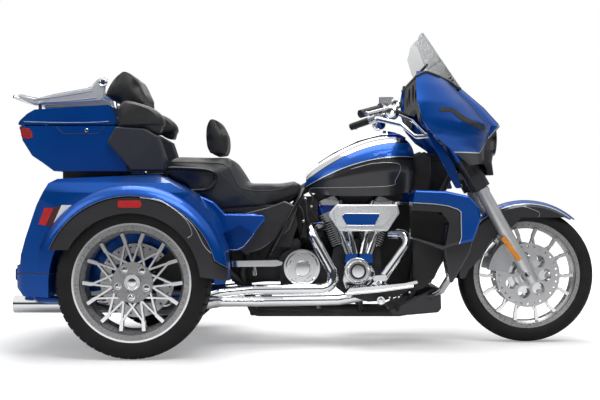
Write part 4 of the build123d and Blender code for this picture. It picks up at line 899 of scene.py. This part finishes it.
# ---- cushions
def apply_all(obj):
    deps = bpy.context.evaluated_depsgraph_get()
    made = bpy.data.meshes.new_from_object(obj.evaluated_get(deps))
    obj.modifiers.clear()
    obj.data = made


PRESSURE, CLOTH_FRAMES = 4.0, 18


def cushion(name, replaced, shrink, voxel, cap):
    """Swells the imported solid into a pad: remesh, cloth under pressure, a cap on each point's travel."""
    mesh = node[replaced].data.copy()
    obj = bpy.data.objects.new(name, mesh)
    bpy.context.scene.collection.objects.link(obj)
    low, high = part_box(replaced)
    bm = bmesh.new()
    bm.from_mesh(mesh)
    bmesh.ops.remove_doubles(bm, verts=bm.verts, dist=1e-5)
    bm.to_mesh(mesh)
    bm.free()
    remesh = obj.modifiers.new("remesh", "REMESH")
    remesh.mode = "VOXEL"
    remesh.voxel_size = voxel
    apply_all(obj)
    mesh = obj.data
    normals = [v.normal.copy() for v in mesh.vertices]
    for v, normal in zip(mesh.vertices, normals):
        v.co -= normal * shrink
    start = [v.co.copy() for v in mesh.vertices]
    cloth = obj.modifiers.new("cloth", "CLOTH")
    setting = cloth.settings
    setting.quality = 4
    setting.mass = 0.3
    setting.use_pressure = True
    setting.uniform_pressure_force = PRESSURE
    setting.tension_stiffness = setting.compression_stiffness = 12
    setting.bending_stiffness = 0.8
    setting.effector_weights.gravity = 0
    cloth.collision_settings.use_collision = False
    for step in range(1, CLOTH_FRAMES + 1):
        bpy.context.scene.frame_set(step)
    apply_all(obj)
    bpy.context.scene.frame_set(1)
    mesh = obj.data
    for v, was in zip(mesh.vertices, start):
        move = v.co - was
        if move.length > cap:
            v.co = was + move * (cap / move.length)
    bm = bmesh.new()
    bm.from_mesh(mesh)
    for _ in range(9):
        bmesh.ops.smooth_vert(bm, verts=bm.verts, factor=0.5, use_axis_x=True, use_axis_y=True,
            use_axis_z=True)
    for v in bm.verts:
        for i in range(3):
            v.co[i] = min(max(v.co[i], low[i] - 0.006), high[i] + 0.006)
    bm.to_mesh(mesh)
    bm.free()
    smooth(mesh)
    mesh.materials.clear()
    place(obj, node[replaced]["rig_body"], "seat_cover")
    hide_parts(replaced)


cushion("seat_cushion", "seat", 0.006, 0.0075, 0.012)
cushion("rider_pad", "rider_backrest", 0.006, 0.005, 0.012)
cushion("passenger_pad", "passenger_backrest", 0.007, 0.0065, 0.014)
cushion("arm_pads", "armrests", 0.006, 0.0055, 0.012)

# ---- wheels
for side, mark in ((-1, "right"), (1, "left")):
    tree = solid_of("rear_rim_" + mark)
    bm = bmesh.new()
    for k in range(5):
        a = 2 * math.pi * (k + 0.55) / 5
        x, z = rear_axle.x + 0.063 * math.sin(a), rear_axle.z + 0.063 * math.cos(a)
        hit = tree.ray_cast(Vector((x, side * 1.5, z)), Vector((0, -side, 0)))[0]
        turned(bm, hit, (0, side, 0), ((-0.004, 0.0155), (0.002, 0.0155), (0.002, 0.0118), (0.013, 0.0112),
            (0.017, 0.007), (0.018, 0)), 18)
    hit = tree.ray_cast(Vector((rear_axle.x + 0.02, side * 1.5, rear_axle.z)), Vector((0, -side, 0)))[0]
    middle = Vector((rear_axle.x, hit.y, rear_axle.z))
    turned(bm, middle, (0, side, 0), ((-0.03, 0.036), (0.004, 0.036), (0.008, 0.033), (0.008, 0.028),
        (0.0055, 0.0265), (0.0055, 0.02), (0.008, 0.018), (0.0095, 0.009), (0.0098, 0)), 40)
    bmesh_piece("wheel_nuts_" + mark, bm, "rear_wheel_" + mark, "chrome")

# ---- body stripes and trim
tank = solid_of("fuel_tank")
traced("tank_loop", tank, 0.0011, "chassis", "silver_metal", lift=0.0002)
rear = solid_of("rear_body")
traced("lip_stripe", rear, 0.0013, "chassis", "silver_metal", lift=0.0004)
traced("body_stripe", rear, 0.0015, "chassis", "silver_metal", lift=0.0004)
fender = solid_of("front_fender")
traced("front_lip_loop", fender, 0.0011, "steering", "silver_metal", lift=0.0002)
fairing = solid_of("fairing_outer")
draped("vent_slash", fairing, "steering", "dash_plastic", lift=0.002, thick=0.006, step=1.2, edge=3)
traced("screen_trim", solid_of("fairing_outer", "windshield"), 0.0065, "steering", "dash_plastic",
    lift=0.001)
slab("fork_panels", 0.162, 0.15, "steering", "blue_paint", bevel=0.004)
slab("wing_panels", 0.2155, 0.19, "chassis", "blue_paint", bevel=0.006)
tubes("wing_stripe", pair(spots("wing_stripe", -0.2165)), 0.0016, "chassis", "silver_metal")
pillow("wrap_pads", 0.328, 0.206, "chassis", "seat_cover", 0.26)

# ---- black shrouds and the parts between the cylinders
slab("radiator_shroud", 0.2, 0.15, "chassis", "black_satin", bevel=0.008, taper=0.06)
filler("neck_cover", ((0.476, 0.71), (0.472, 0.8), (0.5, 0.885), (0.545, 0.905), (0.6, 0.88), (0.6, 0.79),
    (0.58, 0.7), (0.52, 0.685)), -0.066, 0.066, "dash_plastic", 0.012)
filler("neck_web", ((0.59, 0.865), (0.65, 0.862), (0.7, 0.835), (0.645, 0.735), (0.618, 0.69),
    (0.59, 0.69)), -0.03, 0.03, "dash_plastic", 0.006)
filler("harness_tray", ((0.02, 0.69), (0.06, 0.712), (0.45, 0.712), (0.47, 0.675), (0.4, 0.655),
    (0.08, 0.655)), -0.038, 0.038, "black_satin", 0.006)
filler("intake_manifold", ((0.165, 0.655), (0.305, 0.655), (0.292, 0.56), (0.256, 0.475), (0.214, 0.475),
    (0.178, 0.56)), -0.052, 0.04, "cast_black", 0.01)
filler("far_shroud", ((0.345, 0.64), (0.52, 0.655), (0.6, 0.6), (0.6, 0.3), (0.52, 0.235), (0.345, 0.24)),
    0.105, 0.15, "black_satin", 0.01)
filler("seat_pan", ((-0.4, 0.612), (-0.395, 0.64), (-0.12, 0.655), (-0.1, 0.64), (-0.16, 0.598)), -0.16,
    0.16, "black_satin", 0.008)
filler("swingarm_cover", ((-0.365, 0.285), (-0.365, 0.44), (-0.215, 0.462), (-0.145, 0.42), (-0.085, 0.38),
    (-0.085, 0.285)), -0.045, 0.04, "black_satin", 0.012)
filler("gearbox_shroud", ((-0.235, 0.395), (-0.235, 0.472), (-0.03, 0.492), (-0.02, 0.395)), -0.062, 0.062,
    "cast_black", 0.008)
tubes("side_rail_tube", pair(rounded(spots("side_rail_tube"))), 0.0105, "chassis", "black_paint", detail=3)
filler("throttle_shroud", ((-0.048, 0.69), (0.06, 0.69), (0.066, 0.6), (0.08, 0.5), (-0.02, 0.48),
    (-0.046, 0.56)), -0.055, 0.055, "cast_black", 0.01)
filler("far_engine_web", ((-0.1, 0.38), (0.13, 0.38), (0.135, 0.6), (0.07, 0.688), (-0.05, 0.688),
    (-0.1, 0.6)), 0.062, 0.084, "cast_black", 0.006)
tubes("engine_hoses", [rounded([at(*p) for p in run]) for run in SEEN["engine_hoses"]], 0.0055, "chassis",
    "dash_plastic", detail=3)
unions = [(at(px, py, -0.078), TO_RIGHT, size) for px, py, size in SEEN["engine_fittings"]]
turned_piece("engine_fittings", unions, ((-0.02, 0.0), (-0.02, 0.009), (0.006, 0.0095), (0.01, 0.007),
    (0.009, 0.004), (0.009, 0)), 20, "chassis", "chrome")
filler("box_support", ((-0.858, 0.772), (-0.858, 0.798), (-0.64, 0.8), (-0.64, 0.768)), -0.185, 0.185,
    "black_satin", 0.006)
slab("board_hanger", 0.29, 0.215, "chassis", "black_satin", bevel=0.006, taper=0.08)
tubes("board_edge", pair(spots("board_edge")), 0.0062, "chassis", "chrome")

# ---- engine covers
cleaner = solid_of("air_cleaner")
draped("cleaner_insert", cleaner, "chassis", "blue_paint", lift=0.0028, thick=0.004, edge=3, both=False)
traced("cleaner_insert_rim", cleaner, 0.0014, "chassis", "chrome", along="cleaner_insert", closed=True,
    lift=0.0022, both=False, steps=4)
traced("cleaner_edge", cleaner, 0.0016, "chassis", "chrome", closed=True, lift=0.0004, both=False, steps=2)
covers = solid_of("engine_covers")
cam = facing_spot(covers, "cam_cover")
turned_piece("cam_cover_ring", [(cam, TO_RIGHT)], ((-0.004, 0.052), (0.004, 0.052), (0.007, 0.048),
    (0.007, 0.043), (0.004, 0.04), (0.004, 0.03), (0.006, 0.028), (0.0065, 0)), 48, "chassis", "chrome")
turned_piece("cam_cover_insert", [(cam, TO_RIGHT)], ((0.0045, 0.0385), (0.0085, 0.0375), (0.0085, 0.031),
    (0.006, 0.029), (0.006, 0.0)), 48, "chassis", "dash_plastic")
studs("cam_cover_screws", round_hub(cam, 0.0475, 0.006, [k * math.pi / 3 + 0.4 for k in range(6)]), 0.0036,
    0.004, "chassis", "chrome")
clutch = facing_spot(covers, "clutch_cover")
turned_piece("clutch_cover_face", [(clutch, TO_RIGHT)], ((-0.006, 0.066), (0.002, 0.066), (0.006, 0.062),
    (0.006, 0.05), (0.003, 0.048), (0.003, 0.036), (0.0065, 0.034), (0.0075, 0)), 56, "chassis", "chrome")
studs("clutch_cover_screws", round_hub(clutch, 0.056, 0.005, [k * math.pi / 4 + 0.2 for k in range(8)]),
    0.004, 0.005, "chassis", "chrome")
# Painted shade: small dark discs stand for the shade inside the cover's slots.
turned_piece("clutch_slot_shade", round_hub(clutch, 0.042, 0.0032, [-0.9 + k * 0.45 for k in range(5)]),
    ((-0.001, 0.0052), (0.0012, 0.0046), (0.0012, 0)), 14, "chassis", "dash_plastic")

# ---- boards, pedal and rails
turned_piece("brake_pad", [(spots("brake_pad", -0.31)[0], TO_RIGHT)], ((-0.014, 0.0), (-0.014, 0.017),
    (0.01, 0.0195), (0.013, 0.0175), (0.013, 0.013), (0.0105, 0.011), (0.0115, 0)), 36, "chassis", "chrome")
studs("board_screws", [(spot, TO_RIGHT) for spot in spots("board_screws", -0.3)], 0.006, 0.006, "chassis",
    "chrome", both=True)

grab = tubes("grab_rail_tube", pair(rounded(spots("grab_rail_tube", -0.2), True)), 0.0085, "chassis",
    "black_paint", closed=True, detail=4)
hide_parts("grab_rails")
studs("grab_rail_bolts", [(spot, TO_RIGHT) for spot in spots("grab_rail_bolts", -0.196)], 0.007, 0.006,
    "chassis", "black_satin", both=True)

# ---- fork
upper = solid_of("fork_cover_upper", "fork_cover_lower")
studs("fork_cover_bolts", found("fork_cover_bolts", upper, TO_RIGHT), 0.0062, 0.005, "steering", "chrome",
    steps=10, both=True)
low, high = spots("fork_reflectors", -0.162)
along = (high - low).normalized()
over = Vector((-along.z, 0, along.x))
LENS_SECTION = ((-1, 0.018), (-1, 0.003), (-0.7, 0.0), (0.7, 0.0), (1, 0.003), (1, 0.018))
rings = []
for share, wide in ((0.0, 0.55), (0.03, 1.0), (0.5, 1.0), (0.97, 1.0), (1.0, 0.55)):
    spot = low + (high - low) * share
    rings.append([spot + over * (0.0105 * wide * s) + Vector((0, depth, 0)) for s, depth in LENS_SECTION])
lofted("fork_reflectors", rings, "steering", "lamp_glass", amber_lens, both=True)
axle_hole = facing_spot(solid_of("fork_sliders"), "axle_hole")
turned_piece("axle_end_caps", outward(axle_hole), ((-0.004, 0.0165), (0.003, 0.0165), (0.0045, 0.0145),
    (0.0045, 0.0105), (0.0005, 0.0095), (0.0005, 0)), 28, "steering", "silver_metal")
# Painted shade: a dark disc in each axle end stands for the shade inside the hole.
turned_piece("axle_hole_shade", outward(axle_hole, 0.0012), ((-0.001, 0.0098), (0.0004, 0.0094),
    (0.0004, 0)), 24, "steering", "dash_plastic")
housings = zip(spots("switch_housings"), (1.0, 0.72))
turned_piece("switch_housings", [((spot.x, spot.y * side, spot.z), (-0.35, -side * 0.9, 0.1), size)
    for spot, size in housings for side in SIDES], ((-0.03, 0.0), (-0.03, 0.022), (-0.022, 0.029),
    (0.006, 0.031), (0.02, 0.027), (0.024, 0.02), (0.021, 0.012), (0.023, 0.0)), 28, "steering", "chrome")

# ---- screen fittings and headlamp
studs("screen_screws", found("screen_screws", solid_of("windshield"), (0.55, -0.6, 0.55)), 0.006, 0.006,
    "steering", "dash_plastic", steps=12, both=True)
lamp_low, lamp_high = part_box("headlamp")
lamp_z = (lamp_low[2] + lamp_high[2]) / 2
turned_piece("headlamp_bezel", [((lamp_high[0] - 0.05, 0, lamp_z), (1, 0, 0))], ((0.0, 0.0775),
    (0.046, 0.0775), (0.052, 0.074), (0.05, 0.069), (0.043, 0.0665)), 64, "steering", "black_paint")

# ---- luggage box fittings
box_skin = solid_of("luggage_box")
draped("box_lamp", box_skin, "chassis", "red_lens", lift=0.004, thick=0.006, step=1.4, edge=2)
draped("box_latch", box_skin, "chassis", "blue_paint", lift=0.002, thick=0.004, edge=2)
traced("latch_gap", box_skin, 0.0022, "chassis", "dash_plastic", along="box_latch", lift=0.0005, steps=3)
turned_piece("box_locks", outward(facing_spot(box_skin, "box_locks", 0.002)), ((-0.004, 0.009),
    (0.003, 0.009), (0.0045, 0.0075), (0.0045, 0.0055), (0.0025, 0.005), (0.0025, 0)), 24, "chassis",
    "chrome")
rear_skin = solid_of("rear_body", "rear_bumper")
traced("bumper_seam", rear_skin, 0.0022, "chassis", "dash_plastic", lift=0.0)
traced("bumper_bead", rear_skin, 0.0014, "chassis", "blue_paint", lift=0.0006)
lid = solid_of("luggage_lid")
traced("lid_edge", lid, 0.0022, "luggage_lid", "black_paint", lift=0.0006)
# Painted highlight: a silver line along the lid seam stands for the glint on its edge.
traced("lid_painted_highlight", lid, 0.0016, "luggage_lid", "silver_metal", lift=0.0004)
slab("rack_rails", 0.186, 0.166, "luggage_lid", "chrome", bevel=0.008, material=rack_alloy)
ribs = [pair([at(px, py, -0.187) for px, py in run]) for run in SEEN["rack_ribs"]]
tubes("rack_ribs", ribs[0] + ribs[1], 0.0022, "luggage_lid", "silver_metal")
turned_piece("rack_ring", outward(spots("rack_ring", -0.188)[0]), ((-0.002, 0.019), (0.003, 0.019),
    (0.005, 0.016), (0.003, 0.012), (0.001, 0.01), (0.001, 0)), 28, "luggage_lid", "chrome")
slab("lid_plate", 0.176, 0.15, "luggage_lid", "silver_metal", bevel=0.004)

# ---- seams on the soft parts
seat_skin = solid_of("seat_cushion")
traced("seat_welt", seat_skin, 0.0024, "chassis", "seat_cover", lift=0.0002)
traced("seat_panel_seam", seat_skin, 0.0016, "chassis", "seat_cover", lift=0.0002)
pad_skin = solid_of("rider_pad")
traced("rider_pad_welt", pad_skin, 0.0018, "chassis", "seat_cover", lift=0.0002)
arm_skin = solid_of("arm_pads")
traced("arm_pad_welt", arm_skin, 0.0018, "chassis", "seat_cover", lift=0.0002)
back_skin = solid_of("passenger_pad")
traced("back_pad_welt", back_skin, 0.002, "luggage_lid", "seat_cover", lift=0.0002)


# ---- stage
SENSOR = 36
# name, place, aim, size and power
LIGHTS = (
    ("key", (1.5, -4.0, 5.6), (0, 0, 0.6), 3.2, 190),
    ("fill", (-4.5, -3.5, 3.6), (-0.3, 0, 0.6), 3.0, 55),
    ("top", (0.0, 0.3, 5.5), (0, 0, 0.5), 4.0, 230),
    ("rear", (-1.0, 5.0, 3.8), (0, 0, 0.6), 3.5, 90),
)


def stage():
    bpy.ops.mesh.primitive_plane_add(size=60)
    floor = bpy.context.object
    floor.name = "floor"
    n = Nodes("floor")
    n.set(Base_Color=(0.8, 0.8, 0.8, 1), Roughness=0.9)
    x, y, _ = n.axes()
    inputs = {"Value": n.length(x, y), "From Min": 1.2, "From Max": 6.0, "To Min": 0.3, "To Max": 1.0}
    far = n.add("ShaderNodeMapRange", inputs).outputs["Result"]
    strength = n.math("MULTIPLY", n.seen_directly(), far)
    glow = n.add("ShaderNodeEmission", {"Color": (1, 1, 1, 1), "Strength": strength})
    both = n.add("ShaderNodeAddShader", {0: n.shader.outputs[0], 1: glow.outputs[0]})
    n.tree.links.new(both.outputs[0], n.tree.nodes["Material Output"].inputs["Surface"])
    floor.data.materials.append(n.material)

    studio = bpy.data.worlds.new("studio")
    bpy.context.scene.world = studio
    studio.use_nodes = True
    world = Tree(studio.node_tree)
    height = world.add("ShaderNodeSeparateXYZ", {0: world.add("ShaderNodeTexCoord").outputs["Generated"]})
    inputs = {"Value": height.outputs[2], "From Min": -1.0}
    upward = world.add("ShaderNodeMapRange", inputs).outputs["Result"]
    tones = ((0.0, 0.75), (0.5, 0.4), (0.53, 0.03), (0.66, 0.07), (0.78, 0.95), (1.0, 1.0))
    room = world.ramp(upward, *((position, (tone, tone, tone)) for position, tone in tones))
    soft = world.mix(world.add("ShaderNodeLightPath").outputs["Is Glossy Ray"], (0.2, 0.2, 0.205), room)
    back = world.tree.nodes["Background"]
    world.feed(back.inputs["Color"], world.mix(world.seen_directly(), soft, (1, 1, 1)))
    back.inputs["Strength"].default_value = 1.0

    for name, spot, aim, size, power in LIGHTS:
        light = bpy.data.lights.new(name, "AREA")
        light.size = size
        light.energy = power
        lamp = bpy.data.objects.new(name, light)
        bpy.context.scene.collection.objects.link(lamp)
        lamp.location = spot
        lamp.rotation_euler = (Vector(aim) - Vector(spot)).to_track_quat("-Z", "Y").to_euler()

    camera = bpy.data.objects.new("camera", bpy.data.cameras.new("camera"))
    bpy.context.scene.collection.objects.link(camera)
    camera.location = EYE
    camera.rotation_euler = (math.radians(90), 0, 0)
    camera.data.sensor_width = SENSOR
    camera.data.lens = SENSOR * FOCAL / PICTURE_WIDTH
    bpy.context.scene.camera = camera
    bpy.context.scene.view_settings.view_transform = "Standard"


stage()
